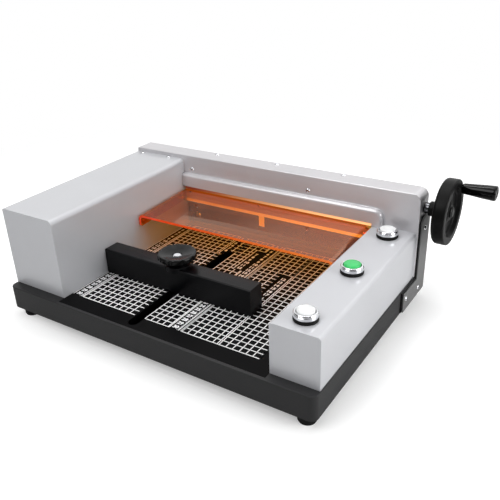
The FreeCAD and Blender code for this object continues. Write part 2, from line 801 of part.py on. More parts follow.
def make_clamp():
    """Clamp bar with two posts, their pins, and the dark guard plates on its front."""
    bar = new_body("clamp_bar")
    low = table + clamp_rest
    high = low + clamp_foot_height
    post_front = clamp_front + draw_bar_thick + clearance
    start = inner_left + clamp_end_gap
    end = inner_right - clamp_end_gap
    pad(bar, "Y", clamp_front, clamp_rear, rectangle(start, low, end, high))
    soften(bar, "Chamfer", clamp_chamfer,
           lambda edge: (runs(edge, ALONG_X) and at_level(edge, "z", low)
                         and at_level(edge, "y", clamp_front)))
    posts = []
    for x, z in clamp_pin_places():
        neck = post_half / 2
        posts.append(outline((x - post_half, high - 1), (x + post_half, high - 1),
                             (x + neck, z + neck), (x - neck, z + neck)))
    pad(bar, "Y", post_front, clamp_rear, *posts)
    tongue = guide_depth - 1
    for low_x, high_x in ((inner_left - tongue, start + 1), (end - 1, inner_right + tongue)):
        pad(bar, "Y", clamp_front + 2, clamp_front + 2 + tongue_thick, rectangle(low_x, low, high_x, high))
    pocket(bar, "Y", post_front, clamp_rear,
           *[circle(x, z, clamp_pin_radius) for x, z in clamp_pin_places()])

    pins = new_body("clamp_pins")
    pad(pins, "Y", clamp_front - 1, clamp_rear,
        *[circle(x, z, clamp_pin_radius) for x, z in clamp_pin_places()])

    gap_left = inner_left + guard_gap_from_left
    for label, low_x, high_x in (("guard_plate_left", start, gap_left),
                                 ("guard_plate_right", gap_left + guard_gap, end)):
        guard = new_body(label)
        pad(guard, "Y", clamp_front - guard_thick, clamp_front, rectangle(low_x, low + 1, high_x, high))


def make_draw_bar():
    """Bar whose sloping slots lift or lower the clamp pins as the screw moves it sideways."""
    bar = new_body("draw_bar")
    low = draw_bar_low
    high = draw_bar_high
    start = inner_left + draw_bar_inset
    end = inner_right - draw_bar_inset
    tail = nut_left + nut_length
    pad(bar, "Y", clamp_front, clamp_front + draw_bar_thick,
        outline((start, low), (end, low), (end, screw_z - nut_half_height),
                (tail, screw_z - nut_half_height), (tail, screw_z + nut_half_height),
                (end, screw_z + nut_half_height), (end - draw_bar_inset / 2, high), (start, high)))
    down = clamp_down + clearance
    up = clamp_up + clearance
    grooves = [slot(x - down, z - down, x + up, z + up, clamp_pin_radius + running)
               for x, z in clamp_pin_places()]
    holes = []
    middle = (inner_left + inner_right) / 2
    for index in (-1, 0, 1):
        x = middle + lightening_pitch * index
        half = lightening_pitch / 3
        holes.append(rectangle(x - half, low + draw_bar_rim, x + half, high - draw_bar_rim, 5))
    pocket(bar, "Y", clamp_front, clamp_front + draw_bar_thick, *grooves, *holes)

    nut = new_body("lead_nut")
    pad(nut, "X", nut_left, tail,
        rectangle(clamp_front + draw_bar_thick, screw_z - nut_half_height,
                  screw_y + screw_radius + nut_wall, screw_z + nut_half_height))
    pocket(nut, "X", nut_left, tail, circle(screw_y, screw_z, screw_radius + fit))


def make_screw():
    """Screw that the wheel turns, its collar, and the two bearings that carry it."""
    journal = screw_radius - 1
    hanger_left = inner_right - hanger_inset
    hanger_right = hanger_left + hanger_thick
    collar_left = bridge_right + 1
    collar_right = collar_left + collar_width
    screw = new_body("clamp_screw")
    screw_end = wheel_outer - hub_inset
    turn(screw, "X", (hanger_left, 0), (screw_end, 0), (screw_end, screw_radius),
         (collar_right, screw_radius), (collar_right, collar_radius), (collar_left, collar_radius),
         (collar_left, screw_radius), (hanger_right + 1, screw_radius), (hanger_right + 1, journal),
         (hanger_left, journal))
    place(screw, 0, screw_y, screw_z)

    hanger = new_body("screw_hanger")
    pad(hanger, "X", hanger_left, hanger_right,
        rectangle(blade_front, screw_z - nut_half_height, beam_front, screw_z + nut_half_height))
    pocket(hanger, "X", hanger_left, hanger_right, circle(screw_y, screw_z, journal + fit))

    bush = new_body("screw_bush")
    face = cheek_right - frame_plate
    inner = screw_radius + fit
    neck = bush_radius - 2
    flange = face - bush_flange
    turn(bush, "X", (flange, inner), (cheek_right, inner), (cheek_right, neck), (face, neck),
         (face, bush_radius), (flange, bush_radius))
    place(bush, 0, screw_y, screw_z)


def make_wheel():
    """Solid moulded wheel with a heavy rim, its cap nut, and the grip on its spindle."""
    wheel = new_body("hand_wheel")
    hub_start = bridge_right + 1 + collar_width
    rim_inner = wheel_radius - rim_thick
    web_in = wheel_inner + web_inset
    web_out = wheel_outer - dish_depth
    hub_end = wheel_outer - hub_inset
    turn(wheel, "X",
         (hub_start, screw_radius), (hub_end, screw_radius), (hub_end, hub_radius),
         (web_out, hub_radius + web_inset), (web_out, rim_inner + 2), (wheel_outer, rim_inner + web_inset),
         (wheel_outer - rim_edge, wheel_radius - rim_edge, rim_edge),
         (wheel_inner + rim_round, wheel_radius - rim_round, rim_round),
         (wheel_inner, rim_inner + web_inset), (web_in, rim_inner), (web_in, hub_radius + web_inset),
         (wheel_inner, hub_radius), (hub_start, hub_radius))
    place(wheel, 0, screw_y, screw_z)
    grip_y = screw_y + grip_circle * cosine(grip_turn)
    grip_z = screw_z + grip_circle * sine(grip_turn)
    socket = wheel_outer - spindle_seat
    pocket(wheel, "X", socket, wheel_outer, circle(grip_y - screw_y, grip_z - screw_z, spindle_radius))

    nut = new_body("wheel_nut")
    seat = hub_end
    turn(nut, "X", (seat, 0), (seat + cap_nut_height, 0), (seat + cap_nut_height, cap_nut_radius - 2),
         (seat + cap_nut_height - 2, cap_nut_radius), (seat, cap_nut_radius))
    place(nut, 0, screw_y, screw_z)

    spindle = new_body("grip_spindle")
    grip_start = wheel_outer + clearance
    tip = grip_start + grip_length
    cup = tip - grip_end
    turn(spindle, "X", (socket, 0), (cup - clearance, 0), (cup - clearance, spindle_radius - 0.5),
         (cup - 1, spindle_radius), (socket, spindle_radius))
    place(spindle, 0, grip_y, grip_z)

    grip = new_body("grip")
    bore = spindle_radius + fit
    middle = grip_start + grip_length / 2
    turn(grip, "X", (grip_start, bore), (cup, bore), (cup, 0), (tip, 0),
         (tip - grip_round, grip_tip_radius - grip_round, grip_round),
         (middle, (grip_root_radius + grip_tip_radius) / 2 + 0.4), (grip_start + 2, grip_root_radius),
         (grip_start, grip_root_radius - 1))
    place(grip, 0, grip_y, grip_z)


def bolt_places():
    height = blade_edge + blade_bolt_height
    step = (opening_width - blade_bolt_inset * 2) / (blade_bolt_count - 1)
    return [(inner_left + blade_bolt_inset + step * index, height) for index in range(blade_bolt_count)]


def make_blade():
    """Bevelled blade, bolted to a carrier that hangs on two pins in the beam's slots."""
    blade = new_body("blade")
    start = inner_left + blade_left_over
    end = inner_right + blade_right_over
    pad(blade, "X", start, end,
        outline((blade_front, blade_edge), (blade_front + clearance, blade_edge),
                (blade_rear, blade_edge + blade_bevel), (blade_rear, blade_top), (blade_front, blade_top)))
    pocket(blade, "Y", blade_front, blade_rear,
           *[circle(x, z, blade_bolt_radius) for x, z in bolt_places()])

    carrier = new_body("blade_carrier")
    low = carrier_low
    high = carrier_high
    corner_x = inner_right - carrier_short
    back_x = mesh_x + rack_back * sine(stroke_angle)
    back_z = mesh_z - rack_back * cosine(stroke_angle)
    slope = cosine(stroke_angle) / sine(stroke_angle)
    toe = table + blade_drop + 3
    heel_x = back_x + (toe - back_z) * slope
    pad(carrier, "Y", blade_rear, carrier_rear,
        outline((heel_x, toe), (heel_x + carrier_arm, toe),
                (heel_x + carrier_arm + (low - toe) * slope, low),
                (corner_x, low), (corner_x, high), (back_x + (high - back_z) * slope, high)))
    pocket(carrier, "Y", blade_rear, carrier_rear,
           *[circle(x, z, blade_bolt_radius) for x, z in bolt_places()],
           *[circle(x, z, carrier_pin_radius) for x, z in carrier_pin_places()])

    bolts = new_body("blade_bolts")
    pad(bolts, "Y", blade_front + clearance, carrier_rear - 1,
        *[circle(x, z, blade_bolt_radius) for x, z in bolt_places()])

    pins = new_body("carrier_pins")
    pad(pins, "Y", blade_rear + 1, beam_rear + 0.5,
        *[circle(x, z, carrier_pin_radius) for x, z in carrier_pin_places()])


def make_rack():
    """Rack along the sloping stroke, with straight-sided teeth, on the carrier's arm."""
    rack = new_body("blade_rack")
    start = -tooth_pitch * rack_teeth_below
    end = tooth_pitch * (rack_teeth - rack_teeth_below)
    pad(rack, "Y", blade_rear, carrier_rear, rectangle(start, -rack_back, end, -tooth_root))
    centre = start + tooth_pitch / 2
    flank = sine(pressure_angle) / cosine(pressure_angle)
    root_half = tooth_pitch / 4 + tooth_root * flank - gear_play
    tip_half = tooth_pitch / 4 - gear_module * flank - gear_play
    tooth = pad(rack, "Y", blade_rear, carrier_rear,
                outline((centre - root_half, -tooth_root), (centre + root_half, -tooth_root),
                        (centre + tip_half, gear_module), (centre - tip_half, gear_module)))
    doc.recompute()
    row = rack.newObject("PartDesign::LinearPattern", "blade_rack_teeth")
    row.Originals = [tooth]
    row.Direction = (tooth.Profile[0], ["H_Axis"])
    row.Occurrences = rack_teeth
    bind(row, "Length", tooth_pitch * (rack_teeth - 1))
    rack.Tip = row
    place(rack, mesh_x, 0, mesh_z, (0, 1, 0), -stroke_angle)


def involute(base_radius, radius):
    """The involute function at a radius."""
    pressure = math.acos(min(1, base_radius / radius))
    return math.tan(pressure) - pressure


def polar(radius, angle):
    return FreeCAD.Vector(radius * math.cos(angle), radius * math.sin(angle), 0)


def gear_outline(module, teeth, play):
    """Closed outline of a spur gear round the origin, with one tooth centred on +X."""
    pitch = module * teeth / 2
    base_radius = pitch * math.cos(math.radians(pressure_angle.value))
    root = pitch - tooth_root.value
    tip = pitch + module
    start = max(base_radius, root)
    half = math.pi / (2 * teeth) - play / pitch + involute(base_radius, pitch)
    radii = [start + (tip - start) * index / 5 for index in range(6)]
    edges = []
    for tooth in range(teeth):
        middle = 2 * math.pi * tooth / teeth
        following = middle + 2 * math.pi / teeth
        rising = [polar(radius, middle - half + involute(base_radius, radius)) for radius in radii]
        falling = [polar(radius, middle + half - involute(base_radius, radius))
                   for radius in reversed(radii)]
        for points in (rising, falling):
            flank = Part.BSplineCurve()
            flank.interpolate(points)
            edges.append(flank.toShape())
        foot_in = polar(root, middle - half)
        foot_out = polar(root, middle + half)
        edges.append(Part.makeLine(foot_in, rising[0]))
        edges.append(Part.Arc(rising[-1], polar(tip, middle), falling[0]).toShape())
        edges.append(Part.makeLine(falling[-1], foot_out))
        valley = polar(root, (middle + following) / 2)
        edges.append(Part.Arc(foot_out, valley, polar(root, following - half)).toShape())
    return Part.Wire(Part.__sortEdges__(edges))


def make_drive():
    """Motor, gearbox, bracket, output shaft and the pinion that meshes with the rack."""
    pinion = doc.addObject("Part::Feature", "drive_pinion")
    pinion.Label = "drive_pinion"
    flat = Part.Face(gear_outline(gear_module.value, int(pinion_teeth.value), gear_play.value))
    axis = FreeCAD.Vector(0, 0, 1)
    hub = Part.makeCylinder(pinion_hub_radius.value, pinion_hub_length.value,
                            FreeCAD.Vector(0, 0, -pinion_hub_length.value))
    length = pinion_hub_length + carrier_thick
    bore = Part.makeCylinder(shaft_radius.value, length.value,
                             FreeCAD.Vector(0, 0, -pinion_hub_length.value))
    pinion.Shape = flat.extrude(axis * carrier_thick.value).fuse(hub).cut(bore).removeSplitter()
    toward_rack = FreeCAD.Vector(sine(stroke_angle).value, 0, -cosine(stroke_angle).value)
    shaft_way = FreeCAD.Vector(0, 1, 0)
    turned = FreeCAD.Rotation(toward_rack, shaft_way.cross(toward_rack), shaft_way)
    at = FreeCAD.Vector(pinion_x.value, blade_rear.value, pinion_z.value)
    pinion.Placement = FreeCAD.Placement(at, turned)
    for name, amount in (("x", pinion_x), ("y", blade_rear), ("z", pinion_z)):
        bind(pinion, f".Placement.Base.{name}", amount)

    half = gearbox_width / 2
    bracket_rear = bridge_front - 1
    bracket_front = bracket_rear - bracket_thick
    gearbox_front = bracket_front - gearbox_length
    motor_front = gearbox_front - motor_length
    shaft = new_body("output_shaft")
    pad(shaft, "Y", bracket_front - shaft_seat, carrier_rear, circle(pinion_x, pinion_z, shaft_radius))

    bracket = new_body("motor_bracket")
    pad(bracket, "Y", bracket_front, bracket_rear,
        outline((pinion_x - half, table), (pinion_x + half, table),
                (pinion_x + half - 4, pinion_z + half - 4, 4),
                (pinion_x - half + 4, pinion_z + half - 4, 4)))
    pad(bracket, "Z", table, table + bracket_thick,
        rectangle(pinion_x - half, bracket_front - bracket_foot, pinion_x + half, bracket_rear))
    pocket(bracket, "Y", bracket_front, bracket_rear, circle(pinion_x, pinion_z, shaft_radius + 8))

    gearbox = new_body("gearbox")
    pad(gearbox, "Y", gearbox_front, bracket_front,
        rectangle(pinion_x - half + 1, table + bracket_thick, pinion_x + half - 1, pinion_z + half - 1, 6))
    pocket(gearbox, "Y", bracket_front - shaft_seat, bracket_front,
           circle(pinion_x, pinion_z, shaft_radius + fit))

    motor = new_body("motor")
    pad(motor, "Y", motor_front, gearbox_front, circle(pinion_x, pinion_z, motor_radius))
    for index in range(cooling_grooves):
        low = motor_front + groove_pitch * (index + 1)
        pocket(motor, "Y", low, low + groove_pitch / 2, circle(pinion_x, pinion_z, motor_radius + 1),
               circle(pinion_x, pinion_z, motor_radius - 3))

    capacitor = new_body("capacitor")
    pad(capacitor, "Z", table, table + capacitor_height,
        circle((left + inner_left) / 2, box_front + capacitor_inset, capacitor_radius))


def make_electrics():
    """Control board on its posts, transformer, cover switch and the power inlet."""
    low_x = inner_right + board_inset
    high_x = right - board_inset
    board_low = table + board_lift
    board_high = board_low + board_thick
    board_front = box_front + board_from_front
    board_rear = board_front + board_length
    board = new_body("control_board")
    pad(board, "Z", board_low, board_high, rectangle(low_x, board_front, high_x, board_rear))
    pad(board, "Z", table, board_low,
        *[circle(x, y, post_radius) for x in (low_x + post_radius * 2, high_x - post_radius * 2)
          for y in (board_front + post_radius * 2, board_rear - post_radius * 2)])
    chips = []
    for index in range(3):
        y = board_front + board_length * (index + 1) / 4
        chips.append(rectangle(low_x + chip_size / 2, y - chip_size / 2,
                               low_x + chip_size * 1.5, y + chip_size / 2))
    pad(board, "Z", board_high, board_high + chip_size, *chips)

    transformer = new_body("transformer")
    end = buttons["button_back"] - barrel_radius - coil_inset - transformer_gap
    start = end - transformer_length
    pad(transformer, "Z", table, table + transformer_height, rectangle(low_x, start, high_x, end))
    pad(transformer, "Z", table + coil_inset, table + transformer_height - coil_inset,
        rectangle(low_x + coil_inset, start - coil_inset, high_x - coil_inset, end + coil_inset))

    switch = new_body("cover_switch")
    face = inner_right + sheet_thick
    pad(switch, "X", face, face + switch_thick,
        rectangle(hinge_y - switch_length - 6, hinge_z - switch_height, hinge_y - 6, hinge_z))

    inlet = new_body("power_inlet")
    low_z = inlet_z - inlet_height / 2
    high_z = inlet_z + inlet_height / 2
    pad(inlet, "Y", rear - inlet_depth, rear,
        rectangle(inlet_x - inlet_width / 2, low_z, inlet_x + inlet_width / 2, high_z))
    half = inlet_width / 4
    rise = inlet_height / 3
    pocket(inlet, "Y", rear - inlet_depth + 2, rear,
           rectangle(inlet_x - half, inlet_z - rise, inlet_x + half, inlet_z + rise, 2))
    blades = [rectangle(inlet_x + half * step - 1, inlet_z - 2, inlet_x + half * step + 1, inlet_z + 2)
              for step in (-0.6, 0, 0.6)]
    pad(inlet, "Y", rear - inlet_depth + 1, rear - 4, *blades)


def make_cover():
    """Bent acrylic cover on two pins, tilted down to the front, and the rail behind it."""
    panel = new_body("cover_panel")
    half = (inner_right - inner_left) / 2 - cover_side_gap
    floor = cover_rise - cover_side_height
    corner = cover_rise - cover_bend
    pad(panel, "Y", -cover_reach, cover_behind,
        outline((-half, floor), (half, floor), (half - cover_bend, corner, cover_bend),
                (-half + cover_bend, corner, cover_bend)))
    inside = half - cover_thick
    bend = cover_bend - cover_thick
    pocket(panel, "Y", -cover_reach, cover_behind,
           outline((-inside, floor), (inside, floor), (inside - bend, corner, bend),
                   (-inside + bend, corner, bend)))
    soften(panel, "Fillet", cover_heel_round,
           lambda edge: (runs(edge, ALONG_X) and at_level(edge, "z", floor)
                         and at_level(edge, "y", cover_behind)))
    soften(panel, "Fillet", cover_toe_round,
           lambda edge: (runs(edge, ALONG_X) and at_level(edge, "z", floor)
                         and at_level(edge, "y", -cover_reach)))
    for low, high in ((-half, -inside), (inside, half)):
        pocket(panel, "X", low, high, circle(0, 0, hinge_pin_radius + fit))
    seat = pin_head_thick * 2
    for low, high in ((-inside, -inside + seat), (inside - seat, inside)):
        pocket(panel, "X", low, high, circle(0, 0, pin_head_radius + clearance))
    middle = (inner_left + inner_right) / 2
    place(panel, middle, hinge_y, hinge_z, ALONG_X, cover_tilt)

    pins = new_body("cover_pins")
    reach = half + cover_side_gap + sheet_thick + 2
    pad(pins, "X", -reach, -inside, circle(0, 0, hinge_pin_radius))
    pad(pins, "X", inside, reach, circle(0, 0, hinge_pin_radius))
    pad(pins, "X", -inside, -inside + pin_head_thick, circle(0, 0, pin_head_radius))
    pad(pins, "X", inside - pin_head_thick, inside, circle(0, 0, pin_head_radius))
    place(pins, middle, hinge_y, hinge_z)

    rail = new_body("cover_rail")
    pad(rail, "Y", bridge_front - rail_thick, bridge_front,
        rectangle(inner_left + rail_end_gap, visor_low - rail_gap - rail_height,
                  inner_right - rail_end_gap, visor_low - rail_gap))


def make_gauge():
    """Squaring gauge that slides along the slot, its stud, slide nut and clamping knob."""
    start = inner_left + gauge_end_gap
    gauge_low = table + clearance
    gauge_top = table + gauge_height
    middle = (gauge_front + gauge_rear) / 2
    bar = new_body("gauge_bar")
    pad(bar, "X", start, start + gauge_length,
        outline((gauge_front, gauge_low), (gauge_rear, gauge_low),
                (gauge_rear - gauge_round, gauge_top - gauge_round, gauge_round),
                (gauge_front + gauge_round, gauge_top - gauge_round, gauge_round)))
    pad(bar, "Z", gauge_top - boss_drop, gauge_top + boss_rise, circle(slot_x, middle, boss_radius))
    key = slot_width / 2 - 0.1
    pad(bar, "Z", table - key_depth, gauge_low,
        rectangle(slot_x - key, gauge_front + key_end_gap, slot_x + key, gauge_rear - key_end_gap))
    pocket(bar, "Z", table - key_depth, gauge_top + boss_rise, circle(slot_x, middle, stud_radius))

    nut_low = table - plate_thick - clearance - slide_nut_thick
    knob_low = gauge_top + boss_rise + clearance
    knob_top = knob_low + knob_height
    stud = new_body("gauge_stud")
    cap_low = knob_top - knob_dish
    cap_high = cap_low + stud_cap_height
    turn(stud, "Z", (0, nut_low), (stud_radius, nut_low), (stud_radius, cap_low),
         (stud_cap_radius, cap_low), (stud_cap_radius, cap_high - 1), (stud_cap_radius - 1, cap_high),
         (stud_radius, cap_high), (stud_radius, cap_high + 1), (0, cap_high + 1))
    place(stud, slot_x, middle, 0)

    nut = new_body("slide_nut")
    half = slide_nut_width / 2
    pad(nut, "Z", nut_low, nut_low + slide_nut_thick,
        rectangle(slot_x - half, middle - half * 0.8, slot_x + half, middle + half * 0.8))
    pocket(nut, "Z", nut_low, nut_low + slide_nut_thick, circle(slot_x, middle, stud_radius))

    knob = new_body("gauge_knob")
    floor = knob_height - knob_dish - clearance
    underside = knob_height - knob_disc
    well = stud_cap_radius + clearance
    bowl_radius = knob_radius - knob_rim
    half_way = (bowl_radius + well) / 2
    turn(knob, "Z", (stud_radius + fit, 0), (knob_neck, 0), (knob_neck + 1, underside),
         (knob_radius - 2, underside), (knob_radius, underside + 2),
         (knob_radius - knob_round, knob_height - knob_round, knob_round),
         (bowl_radius, knob_height), (half_way, knob_height - 0.75 * knob_bowl),
         (well, knob_height - knob_bowl), (well, floor), (stud_radius + fit, floor))
    scallop = pocket(knob, "Z", underside, knob_height,
                     circle(knob_radius + scallop_radius - scallop_depth, 0, scallop_radius))
    ring_of_scallops = knob.newObject("PartDesign::PolarPattern", "gauge_knob_scallops")
    ring_of_scallops.Originals = [scallop]
    ring_of_scallops.Axis = (scallop.Profile[0], ["N_Axis"])
    ring_of_scallops.Angle = 360
    ring_of_scallops.Occurrences = knob_scallops
    knob.Tip = ring_of_scallops
    place(knob, slot_x, middle, knob_low)


def make_buttons():
    """Three sprung buttons: caps in bright bezels, their gaskets, and the contact blocks."""
    top = table + right_box_height
    bezel_low = top + gasket_height
    bezel_high = bezel_low + bezel_height
    barrel_low = top - barrel_length
    cap_top = bezel_high + cap_stand
    cap_low = bezel_low + button_travel + 0.5
    stem_low = barrel_low - button_travel
    cap_radius = button_radius - bezel_wall - clearance
    places = [(button_x, y) for y in buttons.values()]

    gaskets = new_body("button_gaskets")
    pad(gaskets, "Z", top, bezel_low, *[circle(x, y, button_radius + clearance) for x, y in places])
    pocket(gaskets, "Z", top, bezel_low, *[circle(x, y, barrel_radius + clearance) for x, y in places])

    bezels = new_body("button_bezels")
    pad(bezels, "Z", bezel_low, bezel_high, *[circle(x, y, button_radius) for x, y in places])
    pocket(bezels, "Z", bezel_low + 0.4, bezel_high,
           *[circle(x, y, cap_radius + clearance) for x, y in places])
    pad(bezels, "Z", barrel_low, bezel_low + 0.4, *[circle(x, y, barrel_radius) for x, y in places])
    pocket(bezels, "Z", barrel_low, bezel_low + 0.4,
           *[circle(x, y, stem_radius + running) for x, y in places])
    pad(bezels, "Z", top - sheet_thick - barrel_nut, top - sheet_thick,
        *[draw for x, y in places
          for draw in (circle(x, y, button_radius), circle(x, y, barrel_radius - 1))])

    blocks = new_body("contact_blocks")
    half = barrel_radius
    pad(blocks, "Z", barrel_low - contact_height, barrel_low,
        *[rectangle(x - half, y - half, x + half, y + half) for x, y in places])
    pocket(blocks, "Z", barrel_low - button_travel * 3, barrel_low,
           *[circle(x, y, stem_radius + clearance) for x, y in places])

    for label, y in buttons.items():
        cap = new_body(label)
        pad(cap, "Z", cap_low, cap_top, circle(button_x, y, cap_radius))
        soften(cap, "Fillet", 0.8, lambda edge: at_level(edge, "z", cap_top))
        pad(cap, "Z", stem_low, cap_low, circle(button_x, y, stem_radius))


def check_and_write():
    """Refuse anything that did not compute, then write one STEP file for each sub-part."""
    doc.recompute()
    for item in doc.Objects:
        if "Invalid" in item.State or "Error" in item.State:
            raise RuntimeError(f"{item.Label} did not compute")
    os.makedirs("parts", exist_ok=True)
    written = 0
    for item in doc.Objects:
        if item.TypeId not in ("PartDesign::Body", "Part::Feature"):
            continue
        if item.Shape.isNull() or not item.Shape.isValid() or not item.Shape.Solids:
            raise RuntimeError(f"{item.Label} has no sound shape")
        item.Shape.exportStep(f"parts/{item.Label}.step")
        written += 1
    print(f"{written} sub-parts written")


make_base()
make_table()
make_housings()
make_bridge_cover()
make_rear_cover()
plate_left = left - packing_thick
plate_right = bridge_right + packing_thick
make_side_plate("side_packing_left", plate_left, left, packing_edge)
make_side_plate("side_packing_right", bridge_right, plate_right, packing_edge)
make_side_plate("side_plate_left", plate_left - side_plate_thick, plate_left)
make_side_plate("side_plate_right", plate_right, plate_right + side_plate_thick)
make_frame()
make_clamp()
make_draw_bar()
make_screw()
make_wheel()
make_blade()
make_rack()
make_drive()
make_electrics()
make_cover()
make_gauge()
make_buttons()
check_and_write()
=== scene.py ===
import json
import math

import bmesh
import bpy
from mathutils import Euler, Matrix, Vector


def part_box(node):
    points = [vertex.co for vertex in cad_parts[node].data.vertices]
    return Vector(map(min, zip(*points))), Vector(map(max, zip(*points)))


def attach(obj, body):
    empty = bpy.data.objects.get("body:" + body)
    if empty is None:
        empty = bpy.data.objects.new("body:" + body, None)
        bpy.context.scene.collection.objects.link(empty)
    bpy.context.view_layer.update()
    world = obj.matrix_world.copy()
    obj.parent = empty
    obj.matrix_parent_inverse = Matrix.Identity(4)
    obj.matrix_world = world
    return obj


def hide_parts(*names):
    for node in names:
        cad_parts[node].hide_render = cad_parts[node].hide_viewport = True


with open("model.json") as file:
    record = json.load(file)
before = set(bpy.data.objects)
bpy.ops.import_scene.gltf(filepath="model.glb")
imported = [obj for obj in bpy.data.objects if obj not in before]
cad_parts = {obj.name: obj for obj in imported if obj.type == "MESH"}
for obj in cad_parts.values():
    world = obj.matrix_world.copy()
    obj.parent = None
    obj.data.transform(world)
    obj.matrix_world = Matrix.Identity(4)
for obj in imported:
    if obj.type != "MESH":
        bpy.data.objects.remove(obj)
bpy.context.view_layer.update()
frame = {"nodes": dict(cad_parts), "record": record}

bl_info = {
    "name": "Electric paper cutter",
    "version": (1, 0, 0),
    "blender": (4, 5, 0),
    "location": "3D View > Sidebar > Cutter",
    "description": "Finishes and fine pieces of a desktop paper cutter, laid over its packed solids",
    "category": "Add Mesh",
}

MM = 0.001
PHOTO_PIXELS = 500
FOCAL_PIXELS = 633.02
CENTRE_PIXEL = (223.83, 253.19)
CAMERA_PLACE = (0.459549, -0.689916, 0.511743)
CAMERA_TURN = (63.29135, 2.78320, 34.10324)


def span(node):
    """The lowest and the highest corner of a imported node, in millimetres."""
    low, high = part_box(node)
    return low / MM, high / MM


def middle(node):
    low, high = span(node)
    return (low + high) / 2


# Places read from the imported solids, in millimetres.
TABLE_Z = span("table_plate")[1].z
DECK_LOW = span("slot_pan")[1].z
BRIDGE_TOP = span("bridge_cover")[1].z
BRIDGE_FACE = span("cover_rail")[1].y
LEFT_BOX_TOP = span("left_housing")[1].z
COVER_LEFT, COVER_RIGHT = (corner.x for corner in span("cover_panel"))
COVER_TILT = 2.2
SCREW_AXIS = middle("clamp_screw")
HUB_REACH = 15
WHEEL_IN = span("hand_wheel")[0].x + HUB_REACH
WHEEL_OUT = span("hand_wheel")[1].x

# The printed squares, counted from the left front corner of the print.
PRINT_LEFT = -175.0
PRINT_FRONT = -158.5
SQUARE = 10.0
PRINT_DEPTH = 28.0
INK_LEVEL = TABLE_Z + 0.03
INK_THICK = 0.06 * MM


def srgb(red, green, blue):
    """A colour picked on a screen, as the linear one that a shader takes."""
    parts = [part / 255 for part in (red, green, blue)]
    return tuple(part / 12.92 if part < 0.04045 else ((part + 0.055) / 1.055) ** 2.4 for part in parts)


# Settings that a user may change


def colour_setting(name, description, red, green, blue):
    return bpy.props.FloatVectorProperty(name=name, description=description, subtype="COLOR", size=3,
                                         min=0, max=1, default=srgb(red, green, blue))


def length_setting(name, description, millimetres):
    return bpy.props.FloatProperty(name=name, description=description, unit="LENGTH", subtype="DISTANCE",
                                   precision=5, min=0, default=millimetres * MM)


class CutterColours(bpy.types.PropertyGroup):
    """Colours of the finishes."""
    housing: colour_setting("Housings", "Light grey paint of the two boxes", 201, 202, 206)
    bridge: colour_setting("Bridge", "Silver paint of the bridge", 207, 205, 208)
    casting: colour_setting("Base", "Black textured paint of the base", 33, 33, 34)
    table: colour_setting("Table", "Dark paint under the printed squares", 4, 4, 5)
    ink: colour_setting("Print", "White of the squares and numbers", 255, 255, 255)
    acrylic: colour_setting("Cover", "Orange body of the clear cover", 255, 112, 22)
    # The cover edge colour also feeds the edge's painted glow.
    edge: colour_setting("Cover edge", "Red that the cut edge of the cover gathers", 240, 70, 24)
    plate: colour_setting("Side plates", "Grey of the blasted side plates", 121, 121, 121)
    steel: colour_setting("Steel", "Ground steel of the mechanism", 190, 192, 196)
    gauge: colour_setting("Gauge", "Satin black of the squaring gauge", 8, 8, 11)
    plastic: colour_setting("Plastic", "Black moulded plastic", 12, 12, 12)
    white_cap: colour_setting("White caps", "Two of the push buttons", 243, 245, 246)
    green_cap: colour_setting("Green cap", "The start button", 48, 205, 106)


class CutterSizes(bpy.types.PropertyGroup):
    """Sizes of the fine pieces."""
    sheet_edge: length_setting("Sheet edge", "Rounding on the folded sheet", 0.9)
    cast_edge: length_setting("Cast edge", "Rounding on castings and plates", 0.7)
    fine_edge: length_setting("Fine edge", "Rounding on thin and small pieces", 0.2)
    screw_radius: length_setting("Screw head", "Radius of the bridge screws", 3.6)
    line_width: length_setting("Line width", "Width of a printed line", 1.5)
    digit_height: length_setting("Digit height", "Height of the printed numbers", 6.4)
    base_brow: length_setting("Base brow", "Rounding along the top of the base in front", 2.6)
    cap_groove: length_setting("Cap groove", "Depth of the ring in a button cap", 0.7)


# Shader trees

FINISHES = {}


class Value:
    """A shader socket that Python arithmetic extends with Math nodes."""

    def __init__(self, tree, socket):
        self.tree = tree
        self.socket = socket

    def math(self, operation, other):
        return self.tree.node("ShaderNodeMath", {"operation": operation}, {0: self, 1: other})[0]

    def __add__(self, other):
        return self.math("ADD", other)

    def __mul__(self, other):
        return self.math("MULTIPLY", other)

    def __sub__(self, other):
        return self.math("SUBTRACT", other)

    def __rsub__(self, other):
        return self.tree.node("ShaderNodeMath", {"operation": "SUBTRACT"}, {0: other, 1: self})[0]

    def __pow__(self, other):
        return self.math("POWER", other)

    def spread(self, low, high):
        """Map 0..1 to low..high."""
        return self * (high - low) + low

    def step(self, low, high):
        """Rise smoothly from 0 at low to 1 at high."""
        settings = {"interpolation_type": "SMOOTHSTEP"}
        return self.tree.node("ShaderNodeMapRange", settings, {0: self, 1: low, 2: high})[0]


class Tree:
    """Builds the nodes of a finish, of the world or of a modifier."""

    def __init__(self, tree):
        self.nodes = tree.nodes
        self.links = tree.links
        self.nodes.clear()

    def node(self, kind, settings=None, inputs=None):
        """Add a node: its settings first, then the values or links of its sockets."""
        node = self.nodes.new(kind)
        for name, value in (settings or {}).items():
            setattr(node, name, value)
        for name, value in (inputs or {}).items():
            self.feed(node.inputs[name], value)
        return Outputs(self, node)

    def feed(self, socket, value):
        if isinstance(value, Value):
            self.links.new(value.socket, socket)
        elif socket.type == "RGBA" and len(value) == 3:
            socket.default_value = (*value, 1)
        else:
            socket.default_value = value


